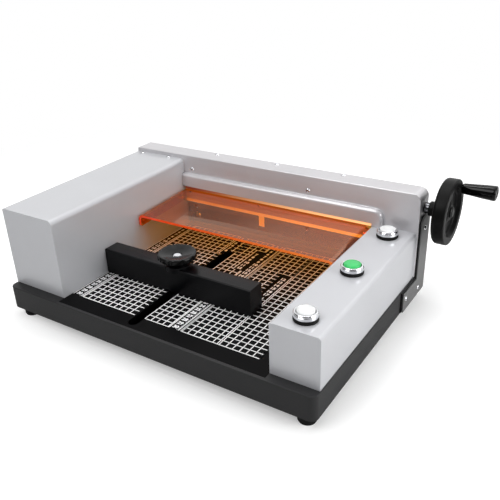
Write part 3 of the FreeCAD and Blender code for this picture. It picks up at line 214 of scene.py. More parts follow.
class Finish(Tree):
    """Builds one material's nodes, and keeps the material in FINISHES under its own name."""

    def __init__(self, name):
        self.name = name
        self.material = bpy.data.materials.new(name)
        self.material.use_nodes = True
        super().__init__(self.material.node_tree)
        self.place = self.node("ShaderNodeTexCoord")["Object"]

    def across(self, low, high):
        """Rise from 0 to 1 from left to right, between two places in millimetres."""
        parts = self.node("ShaderNodeSeparateXYZ", {}, {"Vector": self.place})
        return parts["X"].step(low * MM, high * MM)

    def noise(self, scale, detail=2.0, stretch=(1, 1, 1), distortion=0.0):
        """Noise of about 1/scale metres, centred on 0.5."""
        place = self.node("ShaderNodeMapping", {}, {"Vector": self.place, "Scale": stretch})["Vector"]
        inputs = {"Vector": place, "Scale": scale, "Detail": detail, "Distortion": distortion}
        return self.node("ShaderNodeTexNoise", {}, inputs)["Fac"]

    def blend(self, share, first, second):
        """Mix two colours."""
        inputs = {"Factor": share, 6: first, 7: second}
        return self.node("ShaderNodeMix", {"data_type": "RGBA"}, inputs)[2]

    def mix(self, share, first, second):
        """Mix two shaders."""
        return self.node("ShaderNodeMixShader", {}, {"Fac": share, 1: first, 2: second})["Shader"]

    def clear(self, tint):
        return self.node("ShaderNodeBsdfTransparent", {}, {"Color": tint})["BSDF"]

    def shining(self, strength):
        """A plain white that gives light."""
        return self.node("ShaderNodeEmission", {}, {"Color": (1, 1, 1), "Strength": strength})["Emission"]

    def bump(self, height, distance):
        inputs = {"Height": height, "Distance": distance, "Strength": 1.0}
        return self.node("ShaderNodeBump", {}, inputs)["Normal"]

    def output(self, surface):
        self.node("ShaderNodeOutputMaterial", {}, {"Surface": surface})
        FINISHES[self.name] = self.material

    def principled(self, **sockets):
        names = {"colour": "Base Color", "rough": "Roughness", "metal": "Metallic", "normal": "Normal",
                 "coat": "Coat Weight", "coat_rough": "Coat Roughness", "specular": "Specular IOR Level",
                 "glow": "Emission Strength", "glow_colour": "Emission Color", "brush": "Anisotropic"}
        inputs = {names[name]: value for name, value in sockets.items()}
        return self.node("ShaderNodeBsdfPrincipled", {}, inputs)["BSDF"]


class Outputs:
    """The outputs of a node, each as a Value."""

    def __init__(self, tree, node):
        self.tree = tree
        self.node = node

    def __getitem__(self, name):
        return Value(self.tree, self.node.outputs[name])


def shade(colour, amount):
    """A colour made darker or lighter."""
    return tuple(min(1, part * amount) for part in colour)


def painted(name, colour, rough, metal=0.0, coat=0.0, specular=0.5, grain=1400, depth=0.00002, drift=0.06,
            speck=0.0):
    """Sprayed or powder paint: orange peel, slow drift of tone, and specks."""
    tree = Finish(name)
    slow = tree.noise(9, 3)
    fine = tree.noise(grain, 2)
    peel = tree.noise(grain * 0.28, 1)
    body = tree.blend(slow.step(0.3, 0.7), shade(colour, 1 - drift), shade(colour, 1 + drift))
    if speck:
        body = tree.blend(fine.step(0.58, 0.72) * speck, body, shade(colour, 1.9))
    roughness = (slow - 0.5) * 0.10 + (fine - 0.5) * 0.12 + rough
    normal = tree.bump(fine * 0.5 + peel, depth)
    tree.output(tree.principled(colour=body, rough=roughness, metal=metal, coat=coat,
                                coat_rough=0.09, specular=specular, normal=normal))


def ground(name, colour, rough, along=(1, 40, 40), depth=0.000012):
    """Ground or brushed metal: long scratches, and a soft stain of oil."""
    tree = Finish(name)
    scratch = tree.noise(70, 4, along)
    stains = tree.noise(22, 4, distortion=0.6)
    body = tree.blend(scratch.step(0.25, 0.75), shade(colour, 0.78), shade(colour, 1.08))
    body = tree.blend(stains.step(0.52, 0.72) * 0.12, body, shade(colour, 0.45))
    roughness = (scratch - 0.5) * 0.22 + (stains - 0.5) * 0.12 + rough
    tree.output(tree.principled(colour=body, rough=roughness, metal=1.0, brush=0.35,
                                normal=tree.bump(scratch, depth)))


def moulded(name, colour, rough, coat=0.0, specular=0.5, depth=0.00002, smears=0.08):
    """Moulded plastic or rubber: fine spark texture and faint handling marks."""
    tree = Finish(name)
    fine = tree.noise(900, 3)
    marks = tree.noise(30, 5, (1, 1, 2), 0.4)
    body = tree.blend(marks.step(0.35, 0.7), shade(colour, 0.9), shade(colour, 1.12))
    roughness = marks.step(0.45, 0.75) * smears + (fine - 0.5) * 0.1 + rough
    tree.output(tree.principled(colour=body, rough=roughness, coat=coat, coat_rough=0.06,
                                specular=specular, normal=tree.bump(fine, depth)))


def bright(name, colour, rough):
    """Plated metal with faint polishing swirls."""
    tree = Finish(name)
    swirl = tree.noise(160, 5, distortion=1.5)
    film = tree.noise(40, 2)
    body = tree.blend(film.step(0.4, 0.8), colour, shade(colour, 0.86))
    roughness = swirl.step(0.4, 0.8) * 0.06 + film * 0.04 + rough
    tree.output(tree.principled(colour=body, rough=roughness, metal=1.0,
                                normal=tree.bump(swirl, 0.000004)))


def acrylic(name, body, film, pale_film, glint, near_share, far_share):
    """Tinted clear sheet. Each face lets light through with the film's tint, scatters a little of it
    as the body colour, and mirrors more the flatter it is seen, as the surface of plastic does. The
    share that it scatters grows from its left end to its right one, which paints the sheet brighter
    towards the light at the right. The light that falls through it on other things is tinted less."""
    tree = Finish(name)
    haze = tree.noise(24, 3)
    # Painted light: the scattered share grows towards the light at the right, so the sheet is painted
    # brighter there.
    share = tree.across(COVER_LEFT, COVER_RIGHT).spread(near_share, far_share)
    facing = tree.node("ShaderNodeLayerWeight", {}, {"Blend": 0.5})["Facing"]
    mirror_share = facing ** 5 * 0.92 + 0.11
    rays = tree.node("ShaderNodeLightPath")
    falling = rays["Is Shadow Ray"].math("MAXIMUM", rays["Is Diffuse Ray"])
    through = tree.mix(falling, tree.clear(film), tree.clear(pale_film))
    solid = tree.principled(colour=tree.blend(haze.step(0.3, 0.7), shade(body, 0.9), shade(body, 1.08)),
                            rough=haze * 0.2 + 0.3, specular=0.2)
    mirror = tree.node("ShaderNodeBsdfGlossy", {}, {"Color": glint, "Roughness": 0.02})["BSDF"]
    tree.output(tree.mix(mirror_share, tree.mix(share, through, solid), mirror))


def glowing(name, left, right, light):
    """Cut edge of tinted sheet, with a painted glow that stands for the light the sheet gathers. It is
    painted redder at the left and paler at the right, towards the light."""
    tree = Finish(name)
    haze = tree.noise(60, 3)
    body = tree.blend(tree.across(COVER_LEFT, COVER_RIGHT), left, right)
    body = tree.blend(haze.step(0.3, 0.7) * 0.25, body, shade(left, 0.6))
    tree.output(tree.principled(colour=body, rough=haze * 0.15 + 0.15, coat=0.4,
                                glow_colour=body, glow=light))


def lit_strip(name, body, foot, painted_lip_left, painted_lip_right):
    """Strip behind the cover, with painted light. Its foot is painted bright and glows, standing for the
    light that comes past the cover, and so is the lip over the cover, painted brighter towards the light
    at the right."""
    tree = Finish(name)
    low, high = span("cover_rail")
    haze = tree.noise(30, 3)
    across = tree.across(low.x, high.x)
    height = tree.node("ShaderNodeSeparateXYZ", {}, {"Vector": tree.place})["Z"]
    lip = height.step((high.z - 5.8) * MM, (high.z - 5.2) * MM)
    below = 1 - height.step((low.z + 4.9) * MM, (low.z + 6.1) * MM)
    tone = tree.blend(below, body, foot)
    tone = tree.blend(lip, tone, tree.blend(across, painted_lip_left, painted_lip_right))
    tone = tree.blend(haze.step(0.3, 0.7) * 0.25, tone, shade(body, 0.8))
    # Painted glow: emission that stands for the light the foot and the lip catch; the strip is no lamp.
    painted_glow = tree.blend(below, (0.12, 0.09, 0.02), tree.blend(across, (0.4, 0.4, 0.1), (0.9, 1.0, 0.5)))
    painted_glow = tree.blend(lip, painted_glow, tree.blend(across, (0.06, 0.01, 0.01), (1.0, 0.56, 0.26)))
    tree.output(tree.principled(colour=tone, rough=haze * 0.2 + 0.25, coat=0.3,
                                glow_colour=painted_glow, glow=1.0))


def make_finishes(colours):
    """One material for each finish of the machine."""
    plastic = colours.plastic
    painted("casting", colours.casting, 0.5, specular=0.32, grain=2600, depth=0.00008, drift=0.1,
            speck=0.12)
    painted("table", colours.table, 0.4, specular=0.05, drift=0.12)
    painted("ink", colours.ink, 0.5, specular=0.1, drift=0.03)
    painted("housing", colours.housing, 0.36, metal=0.12, coat=0.5, depth=0.000012, drift=0.02,
            speck=0.05)
    painted("bridge", colours.bridge, 0.34, metal=0.35, coat=0.3, depth=0.000012, drift=0.02,
            speck=0.05)
    painted("plate", colours.plate, 0.52, metal=0.5, grain=3000, depth=0.00005, drift=0.05, speck=0.05)
    painted("dark_sheet", srgb(15, 15, 16), 0.4, specular=0.2)
    painted("guard", srgb(5, 5, 6), 0.5, specular=0.04)
    painted("black_metal", colours.gauge, 0.3, specular=0.2, grain=2200, depth=0.00001, drift=0.1)
    painted("motor", srgb(96, 100, 106), 0.5, grain=900, depth=0.0001)
    painted("board", srgb(24, 92, 52), 0.35, coat=0.4)
    ground("steel", colours.steel, 0.34)
    ground("shaft", srgb(96, 96, 99), 0.16, depth=0.000004)
    ground("brass", srgb(200, 164, 96), 0.3, along=(40, 1, 1))
    ground("coil", srgb(150, 84, 40), 0.4, along=(1, 60, 60))
    bright("bright", srgb(232, 233, 236), 0.07)
    moulded("rubber", srgb(18, 18, 18), 0.7, specular=0.2, depth=0.00006)
    # The cutting stick is made dark grey as painted shade, for the throat under the clamp where it lies.
    moulded("stick", srgb(74, 74, 72), 0.55)
    moulded("black_plastic", plastic, 0.4, specular=0.25)
    # The wheel's plastic is a darker copy of the black plastic, as painted shade: the wheel stands near
    # the side lamp and its dished face lies in shade.
    moulded("wheel_plastic", shade(plastic, 0.6), 0.4, specular=0.12, depth=0.00004)
    moulded("gloss_plastic", shade(plastic, 0.4), 0.06, specular=0.18, depth=0.000003, smears=0.03)
    moulded("knob_plastic", shade(plastic, 0.5), 0.12, specular=0.24, depth=0.000004)
    moulded("white_cap", colours.white_cap, 0.24, coat=0.3, depth=0.000004)
    moulded("green_cap", colours.green_cap, 0.3, coat=0.3, depth=0.000004)
    acrylic("cover", colours.acrylic, film=(1.0, 0.55, 0.12), pale_film=(1.0, 0.62, 0.24),
            glint=(1.0, 0.76, 0.62), near_share=0.01, far_share=0.06)
    # The cover edge's glow and its paler right end are painted light.
    glowing("cover_edge", colours.edge, srgb(255, 132, 52), 0.34)
    # The foot colour and the pale right end of the lip are painted light, brighter than the rail's body.
    lit_strip("rail", body=srgb(194, 142, 58), foot=srgb(244, 196, 120), painted_lip_left=srgb(170, 70, 34),
              painted_lip_right=srgb(255, 190, 100))


# Meshes


def finished(name, mesh, body, finish):
    """Link a mesh that is in place, give it its finish, and let it ride on its body."""
    piece = bpy.data.objects.new(name, mesh)
    bpy.context.scene.collection.objects.link(piece)
    mesh.materials.clear()
    mesh.materials.append(FINISHES[finish])
    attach(piece, body)
    return piece


def as_mesh(name, shape):
    """Turn a bmesh into a mesh with outward faces, smooth where they meet at a flat angle."""
    bmesh.ops.recalc_face_normals(shape, faces=shape.faces)
    mesh = bpy.data.meshes.new(name)
    shape.to_mesh(mesh)
    shape.free()
    mesh.shade_smooth()
    mesh.set_sharp_from_angle(angle=math.radians(35))
    return mesh


def rounded_corners(points):
    """Replace each corner (u, v, radius) of a closed outline by an arc."""
    result = []
    steps = 5
    count = len(points)
    for index, point in enumerate(points):
        corner = Vector(point[:2])
        radius = point[2] if len(point) > 2 else 0
        if not radius:
            result.append(corner)
            continue
        back = (Vector(points[index - 1][:2]) - corner).normalized()
        ahead = (Vector(points[(index + 1) % count][:2]) - corner).normalized()
        half = back.angle(ahead) / 2
        reach = radius / math.tan(half)
        centre = corner + (back + ahead).normalized() * radius / math.sin(half)
        start = corner + back * reach - centre
        end = corner + ahead * reach - centre
        sweep = start.angle_signed(end)
        for step in range(steps + 1):
            turned = start.copy()
            turned.rotate(Matrix.Rotation(-sweep * step / steps, 2))
            result.append(centre + turned)
    return result


AXES = {"x": Matrix(((0, 0, 1), (1, 0, 0), (0, 1, 0))).to_4x4(), "z": Matrix.Identity(4)}


def skinned(shape, rings):
    """Put faces between each ring of points and the next. A ring of one point ends in a fan."""
    for lower, upper in zip(rings, rings[1:]):
        count = max(len(lower), len(upper))
        for step in range(count):
            after = (step + 1) % count
            corners = [lower[step % len(lower)], lower[after % len(lower)],
                       upper[after % len(upper)], upper[step % len(upper)]]
            corners = list(dict.fromkeys(corners))
            if len(corners) > 2:
                shape.faces.new(corners)


def lathe(profile, centre, axis, steps):
    """Turn a closed outline of (radius, along, corner radius) about an axis through a centre, all in
    millimetres."""
    shape = bmesh.new()
    rings = []
    for radius, along in rounded_corners(profile):
        if radius < 1e-6:
            rings.append([shape.verts.new((0, 0, along * MM))])
            continue
        ring = []
        for step in range(steps):
            turn = 2 * math.pi * step / steps
            ring.append(shape.verts.new((radius * MM * math.cos(turn), radius * MM * math.sin(turn),
                                         along * MM)))
        rings.append(ring)
    skinned(shape, [*rings, rings[0]])
    shape.transform(Matrix.Translation(Vector(centre) * MM) @ AXES[axis])
    return shape


def block(low, high):
    """A box between two corners, in millimetres."""
    shape = bmesh.new()
    outline = ((low[0], low[1]), (high[0], low[1]), (high[0], high[1]), (low[0], high[1]))
    ends = [[shape.verts.new((x * MM, y * MM, z * MM)) for x, y in outline] for z in (low[2], high[2])]
    skinned(shape, ends)
    shape.faces.new(ends[0])
    shape.faces.new(ends[1])
    return shape


def unit_block():
    """A box one metre along each side, round the origin, for a repeat that sizes it."""
    half = 0.5 / MM
    return block((-half, -half, -half), (half, half, half))


def applied(piece):
    """Make the piece's modifiers part of its mesh."""
    bpy.context.view_layer.update()
    evaluated = piece.evaluated_get(bpy.context.evaluated_depsgraph_get())
    mesh = bpy.data.meshes.new_from_object(evaluated)
    piece.modifiers.clear()
    old = piece.data
    piece.data = mesh
    bpy.data.meshes.remove(old)


def softened(name, mesh, width, broad):
    """A mesh with its sharp edges rounded. Where broad is (test, width), the sharp edges whose two
    ends pass the test get that larger width."""
    widest = broad[1] if broad else width
    shape = bmesh.new()
    shape.from_mesh(mesh)
    weight = shape.edges.layers.float.new("bevel_weight_edge")
    for edge in shape.edges:
        if len(edge.link_faces) == 2 and edge.calc_face_angle() > math.radians(30):
            wide = broad and all(broad[0](vertex.co / MM) for vertex in edge.verts)
            edge[weight] = 1 if wide else width / widest
    shape.to_mesh(mesh)
    shape.free()
    piece = bpy.data.objects.new(name, mesh)
    bpy.context.scene.collection.objects.link(piece)
    mesh.shade_smooth()
    bevel = piece.modifiers.new("edges", "BEVEL")
    bevel.width = widest
    bevel.segments = 4 if broad else 2
    bevel.limit_method = "WEIGHT"
    bevel.harden_normals = True
    applied(piece)
    mesh = piece.data
    bpy.data.objects.remove(piece)
    return mesh


def copied(node):
    """A CAD node's mesh with its loose triangles joined and its flat faces made whole."""
    source = frame["nodes"][node].data
    shape = bmesh.new()
    shape.from_mesh(source)
    bmesh.ops.remove_doubles(shape, verts=shape.verts, dist=2e-6)
    bmesh.ops.dissolve_limit(shape, angle_limit=math.radians(0.5), verts=shape.verts, edges=shape.edges)
    points = [vertex.co.copy() for vertex in shape.verts]
    shape.verts.index_update()
    faces = [[vertex.index for vertex in face.verts] for face in shape.faces]
    shape.free()
    mesh = bpy.data.meshes.new(node)
    mesh.from_pydata(points, [], faces)
    return mesh


def dressed(node, body, finish, width, broad=None):
    """Stand a copy with rounded edges in for a CAD node."""
    mesh = softened(node, copied(node), width, broad)
    piece = finished(f"{node}_dressed", mesh, body, finish)
    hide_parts(node)
    return piece


def turned(node, body, finish, profile, centre, axis, steps):
    """Stand a turned piece in for a CAD node."""
    piece = finished(f"{node}_turned", as_mesh(node, lathe(profile, centre, axis, steps)), body, finish)
    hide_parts(node)


# Repeats by Geometry Nodes


def repeat_tree():
    """Copies of a shape on points that carry a turn and a size, with a random spin."""
    group = bpy.data.node_groups.new("repeat_on_points", "GeometryNodeTree")
    sockets = {}
    for name, kind in (("Geometry", "NodeSocketGeometry"), ("Shape", "NodeSocketObject"),
                       ("Spin", "NodeSocketFloat"), ("Seed", "NodeSocketInt"),
                       ("Finish", "NodeSocketMaterial")):
        sockets[name] = group.interface.new_socket(name=name, in_out="INPUT", socket_type=kind).identifier
    group.interface.new_socket(name="Geometry", in_out="OUTPUT", socket_type="NodeSocketGeometry")

    tree = Tree(group)
    given = tree.node("NodeGroupInput")
    shape = tree.node("GeometryNodeObjectInfo", {}, {"Object": given["Shape"], "As Instance": True})
    vector = {"data_type": "FLOAT_VECTOR"}
    turn = tree.node("GeometryNodeInputNamedAttribute", vector, {"Name": "turn"})
    size = tree.node("GeometryNodeInputNamedAttribute", vector, {"Name": "size"})
    facing = tree.node("FunctionNodeEulerToRotation", {}, {"Euler": turn["Attribute"]})
    chance = tree.node("FunctionNodeRandomValue", {"data_type": "FLOAT"},
                       {"Seed": given["Seed"], 3: given["Spin"]})
    spin = tree.node("FunctionNodeAxisAngleToRotation", {}, {"Angle": chance[1]})
    whole = tree.node("FunctionNodeRotateRotation", {"rotation_space": "LOCAL"},
                      {0: facing[0], 1: spin[0]})
    copies = tree.node("GeometryNodeInstanceOnPoints", {},
                       {"Points": given["Geometry"], "Instance": shape["Geometry"],
                        "Rotation": whole[0], "Scale": size["Attribute"]})
    real = tree.node("GeometryNodeRealizeInstances", {}, {"Geometry": copies[0]})
    paint = tree.node("GeometryNodeSetMaterial", {}, {"Geometry": real[0], "Material": given["Finish"]})
    tree.node("NodeGroupOutput", {}, {"Geometry": paint[0]})
    return group, sockets


REPEAT = {}


def repeated(name, shape, places, body, finish, spin=0.0, seed=3):
    """Put copies of a bmesh at places ((x, y, z), turn in degrees, size) as one plain mesh."""
    if not REPEAT:
        REPEAT["tree"], REPEAT["sockets"] = repeat_tree()
    model = bpy.data.objects.new("model", as_mesh("model", shape))
    bpy.context.scene.collection.objects.link(model)
    points = bpy.data.meshes.new(name)
    points.from_pydata([Vector(place[0]) * MM for place in places], [], [])
    for key, index in (("turn", 1), ("size", 2)):
        attribute = points.attributes.new(key, "FLOAT_VECTOR", "POINT")
        for item, place in zip(attribute.data, places):
            value = place[index]
            item.vector = [math.radians(part) for part in value] if key == "turn" else value
    carrier = bpy.data.objects.new(name, points)
    bpy.context.scene.collection.objects.link(carrier)
    modifier = carrier.modifiers.new("repeat", "NODES")
    modifier.node_group = REPEAT["tree"]
    sockets = REPEAT["sockets"]
    modifier[sockets["Shape"]] = model
    modifier[sockets["Spin"]] = spin
    modifier[sockets["Seed"]] = seed
    modifier[sockets["Finish"]] = FINISHES[finish]
    applied(carrier)
    mesh = carrier.data
    for key in ("turn", "size"):
        if key in mesh.attributes:
            mesh.attributes.remove(mesh.attributes[key])
    bpy.data.objects.remove(carrier)
    bpy.data.objects.remove(model)
    return finished(name, mesh, body, finish)


UP = (0, 0, 0)
FORWARD = (90, 0, 0)
BACKWARD = (-90, 0, 0)
RIGHTWARD = (0, 90, 0)
LEFTWARD = (0, -90, 0)
ONE = (1, 1, 1)


def screw_head(radius, height, socket):
    """A domed head with a six-sided socket, standing on z = 0."""
    shape = bmesh.new()
    steps = 24
    turns = [2 * math.pi * step / steps for step in range(steps)]
    dome = ((1.0, -0.2), (1.0, 0.12), (0.96, 0.4), (0.82, 0.78), (0.64, 0.97), (0.56, 1.0))
    levels = [([radius * share] * steps, rise) for share, rise in dome]
    sixth = math.pi / 3
    hexagon = [socket / math.cos((turn + sixth / 2) % sixth - sixth / 2) for turn in turns]
    levels += [(hexagon, 1.0), (hexagon, 0.35)]
    rings = []
    for reaches, rise in levels:
        rings.append([shape.verts.new((reach * MM * math.cos(turn), reach * MM * math.sin(turn),
                                       height * rise * MM)) for reach, turn in zip(reaches, turns)])
    skinned(shape, rings)
    shape.faces.new(rings[-1])
    shape.faces.new(rings[0])
    return shape


# Operators


class CUTTER_OT_finishes(bpy.types.Operator):
    """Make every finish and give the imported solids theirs"""
    bl_idname = "cutter.finishes"
    bl_label = "Finishes"

    def execute(self, context):
        make_finishes(context.scene.cutter_colours)
        for part in frame["record"]["subparts"]:
            mesh = frame["nodes"][part["node"]].data
            mesh.materials.clear()
            mesh.materials.append(FINISHES[part["material_slot"]])
        return {"FINISHED"}


class CUTTER_OT_sheet_metal(bpy.types.Operator):
    """Round the edges of the housings, the bridge, the covers and the side plates"""
    bl_idname = "cutter.sheet_metal"
    bl_label = "Sheet metal"

    def execute(self, context):
        sizes = context.scene.cutter_sizes
        dressed("left_housing", "frame", "housing", sizes.sheet_edge)
        dressed("right_housing", "frame", "housing", sizes.sheet_edge)
        dressed("bridge_cover", "frame", "bridge", sizes.sheet_edge)
        dressed("rear_cover", "frame", "housing", sizes.fine_edge)
        for side in ("left", "right"):
            dressed(f"side_plate_{side}", "frame", "plate", sizes.cast_edge)
            # A thin dark sheet under each side plate, which shows as a black band beside the plate.
            dressed(f"side_packing_{side}", "frame", "dark_sheet", sizes.fine_edge)
        return {"FINISHED"}


class CUTTER_OT_base(bpy.types.Operator):
    """Round the cast base, more along its brow in front, and rib its hollow"""
    bl_idname = "cutter.base"
    bl_label = "Base and feet"

    def execute(self, context):
        sizes = context.scene.cutter_sizes
        brow = span("left_housing")[0].y - 1

        def in_front(place):
            return place.z > TABLE_Z - 0.01 and place.y < brow and not self.in_recess(place)

        dressed("base_casting", "frame", "casting", sizes.cast_edge, (in_front, sizes.base_brow))
        dressed("feet", "frame", "rubber", sizes.cast_edge)
        self.ribs()
        return {"FINISHED"}

    def in_recess(self, place):
        low, high = span("table_plate")
        room = 0.6
        return low.x - room < place.x < high.x + room and place.y > low.y - room

    def ribs(self):
        """Ribs under the deck, clear of the pan, the feet and the inlet."""
        low, high = span("base_casting")
        pan_low, pan_high = span("slot_pan")
        wall = 6
        thick = 3
        drop = 6
        rear_rib = 100
        ends = 128
        places = []
        for y in (-125, -60, 5):
            for start, end in ((low.x + wall, pan_low.x), (pan_high.x, high.x - wall)):
                places.append((start, end, y, y))
        places.append((low.x + wall, high.x - wall, rear_rib, rear_rib))
        for x in (-230, -160, 10, 80, 150):
            places.append((x, x, low.y + wall, ends))
        ribs = []
        for start, end, near, far in places:
            at = ((start + end) / 2, (near + far) / 2, DECK_LOW - drop / 2)
            size = (max(end - start, thick) * MM, max(far - near, thick) * MM, drop * MM)
            ribs.append((at, UP, size))
        repeated("base_ribs", unit_block(), ribs, "frame", "casting")


# Zones of the print as (first, last, near, far, first whole column), counted in squares. The gaps
# between them hold the slot and the number strips.
PRINTED_ZONES = (
    (0, 10, 0, 21, 0),
    (0, 9.4, 21, PRINT_DEPTH, 0),
    (10.6, 11.8, 22.6, PRINT_DEPTH, 11),
    (11.8, 16, 0, 17.8, 11.8),
    (11.8, 14.4, 17.8, 24.9, 11.8),
    (11.8, 16, 24.9, PRINT_DEPTH, 11.8),
    (18, 30, 0, 12.7, 18),
    (18, 22, 12.7, 19.9, 18),
    (18, 23.7, 19.9, PRINT_DEPTH, 18),
    (23.7, 30, 12.7, PRINT_DEPTH, 24),
)
# Rulers and number strips as (first, last, near, far).
NUMBER_STRIPS = (
    (-1.95, -0.5, 0, PRINT_DEPTH),
    (16.15, 17.3, 0, PRINT_DEPTH),
    (9.5, 10.4, 21.4, PRINT_DEPTH),
    (14.6, 15.7, 18, 24.8),
    (22.2, 23.5, 12.9, 19.8),
)
BOLD_COLUMNS = (-0.05, 18.0)
BOLD_ROW = (0, 10, 21)
THIN_COLUMNS = (-2.0, -0.4, 17.55, 23.7, 30.0)
TICK_COLUMNS = (-0.4, 17.55)
LONG_TICK = 3.2 * MM
SHORT_TICK = 1.9 * MM
TICK_WIDTH = 0.4 * MM
ROW_COUNT = 30
# The size of the font and how much bolder it is made, in heights of a digit.
FONT_SIZE = 1.35
FONT_BOLDER = 0.07


def printed_place(across, along):
    """A place on the table, counted in squares, at the level of the print."""
    return (PRINT_LEFT + across * SQUARE, PRINT_FRONT + along * SQUARE, INK_LEVEL)


def printed_lines():
    """Each printed line as (centre across, centre along, length across, length along) in squares."""
    lines = []
    for first, last, near, far, origin in PRINTED_ZONES:
        for row in range(math.ceil(near), math.floor(far) + 1):
            lines.append(((first + last) / 2, row, last - first, 0))
        whole = math.floor(last - origin + 0.01)
        for column in (*(origin + step for step in range(whole + 1)), last):
            lines.append((column, (near + far) / 2, 0, far - near))
    for column in THIN_COLUMNS:
        lines.append((column, PRINT_DEPTH / 2, 0, PRINT_DEPTH))
    return lines


class CUTTER_OT_table_print(bpy.types.Operator):
    """Print the squares, the rulers and their numbers on the table"""
    bl_idname = "cutter.table_print"
    bl_label = "Table print"

    def execute(self, context):
        sizes = context.scene.cutter_sizes
        width = sizes.line_width
        cell = SQUARE * MM
        places = []
        for across, along, wide, deep in printed_lines():
            size = (max(wide * cell, width), max(deep * cell, width), INK_THICK)
            places.append((printed_place(across, along), UP, size))
        for column in BOLD_COLUMNS:
            size = (width * 2.2, PRINT_DEPTH * cell, INK_THICK)
            places.append((printed_place(column, PRINT_DEPTH / 2), UP, size))
        first, last, row = BOLD_ROW
        size = ((last - first) * cell, width * 2, INK_THICK)
        places.append((printed_place((first + last) / 2, row), UP, size))
        repeated("table_lines", unit_block(), places, "frame", "ink")

        ticks = []
        for edge in TICK_COLUMNS:
            for step in range(int(PRINT_DEPTH * SQUARE)):
                reach = SHORT_TICK if step % 5 else LONG_TICK
                at = printed_place(edge - reach / 2 / cell, step / SQUARE)
                ticks.append((at, UP, (reach, TICK_WIDTH, INK_THICK)))
        repeated("table_ticks", unit_block(), ticks, "frame", "ink")

        numbers = []
        for first, last, near, far in NUMBER_STRIPS:
            for row in range(math.ceil(near), int(far)):
                numbers.append((str(ROW_COUNT - row), (first + last) / 2, row + 0.5))
        finished("table_numbers", self.digits(numbers, sizes.digit_height), "frame", "ink")
        return {"FINISHED"}

    def digits(self, numbers, height):
        """All the printed numbers as one mesh, flat on the table."""
        whole = bmesh.new()
        for text, across, along in numbers:
            curve = bpy.data.curves.new("digits", "FONT")
            curve.body = text
            curve.size = height * FONT_SIZE
            curve.align_x = "CENTER"
            curve.align_y = "CENTER"
            curve.resolution_u = 2
            curve.offset = height * FONT_BOLDER
            curve.extrude = INK_THICK / 2
            writing = bpy.data.objects.new("digits", curve)
            bpy.context.scene.collection.objects.link(writing)
            bpy.context.view_layer.update()
            evaluated = writing.evaluated_get(bpy.context.evaluated_depsgraph_get())
            mesh = bpy.data.meshes.new_from_object(evaluated)
            mesh.transform(Matrix.Translation(Vector(printed_place(across, along)) * MM))
            whole.from_mesh(mesh)
            bpy.data.objects.remove(writing)
            bpy.data.curves.remove(curve)
            bpy.data.meshes.remove(mesh)
        bmesh.ops.remove_doubles(whole, verts=whole.verts, dist=1e-7)
        return as_mesh("table_numbers", whole)


class CUTTER_OT_screws(bpy.types.Operator):
    """Set the screws in the bridge, the housings, the rail, the cover and the side plates"""
    bl_idname = "cutter.screws"
    bl_label = "Screws"

    def execute(self, context):
        radius = context.scene.cutter_sizes.screw_radius / MM
        places = [((x, 151.5, BRIDGE_TOP), UP, ONE) for x in (-142.7, -27.1, 88.6)]
        places += [((x, BRIDGE_FACE, 156), FORWARD, ONE) for x in (-179, 42)]
        places += [((x, y, LEFT_BOX_TOP), UP, ONE) for x, y in ((-281.5, 118), (-225.6, 121))]
        for x, turn in ((span("side_plate_right")[1].x, RIGHTWARD),
                        (span("side_plate_left")[0].x, LEFTWARD)):
            places += [((x, y, z), turn, ONE) for y, z in ((143.5, 124.5), (136, 30), (84, 37.5))]
        self.set_in("frame_screws", (radius, 1.9, radius * 0.42), places, "frame", 3)
        face = span("cover_rail")[0].y
        places = [((x, face, 115.5), FORWARD, ONE) for x in (-184, -45, 141)]
        self.set_in("rail_screws", (2.6, 1.6, 1.1), places, "frame", 5)
        wall = 4
        places = [((COVER_LEFT + wall, 112, 104.5), RIGHTWARD, ONE),
                  ((COVER_RIGHT - wall, 112, 104.5), LEFTWARD, ONE)]
        self.set_in("cover_screws", (2.6, 1.4, 1.1), places, "cover", 7)
        low, high = span("rear_cover")
        inset = 9
        rows = (low.x + inset, middle("rear_cover").x, high.x - inset)
        places = [((x, high.y, high.z - 7), BACKWARD, ONE) for x in rows]
        self.set_in("rear_screws", (2.6, 1.6, 1.1), places, "frame", 9)
        return {"FINISHED"}

    def set_in(self, name, size, places, body, seed):
        """Screws of one size (radius, height, socket), each with its socket at a turn of its own."""
        repeated(name, screw_head(*size), places, body, "bright", spin=1.0, seed=seed)


class CUTTER_OT_cover(bpy.types.Operator):
    """Round the clear cover, paint a glow on its cut edges, and round the rail behind it"""
    bl_idname = "cutter.cover"
    bl_label = "Clear cover"

    def execute(self, context):
        piece = dressed("cover_panel", "cover", "cover", context.scene.cutter_sizes.fine_edge)
        mesh = piece.data
        mesh.materials.append(FINISHES["cover_edge"])
        tilt = math.radians(COVER_TILT)
        ahead = Vector((0, -math.cos(tilt), -math.sin(tilt)))
        for face in mesh.polygons:
            if face.normal @ ahead > 0.9:
                face.material_index = 1
        dressed("cover_rail", "frame", "rail", context.scene.cutter_sizes.fine_edge)
        return {"FINISHED"}


class CUTTER_OT_gauge(bpy.types.Operator):
    """Round the squaring gauge, its knob and the cap of its stud"""
    bl_idname = "cutter.gauge"
    bl_label = "Gauge"

    def execute(self, context):
        sizes = context.scene.cutter_sizes
        dressed("gauge_bar", "gauge", "black_metal", sizes.cast_edge)
        dressed("gauge_knob", "knob", "knob_plastic", sizes.cast_edge)
        dressed("gauge_stud", "gauge", "bright", sizes.fine_edge)
        return {"FINISHED"}


BUTTON_STEPS = 72


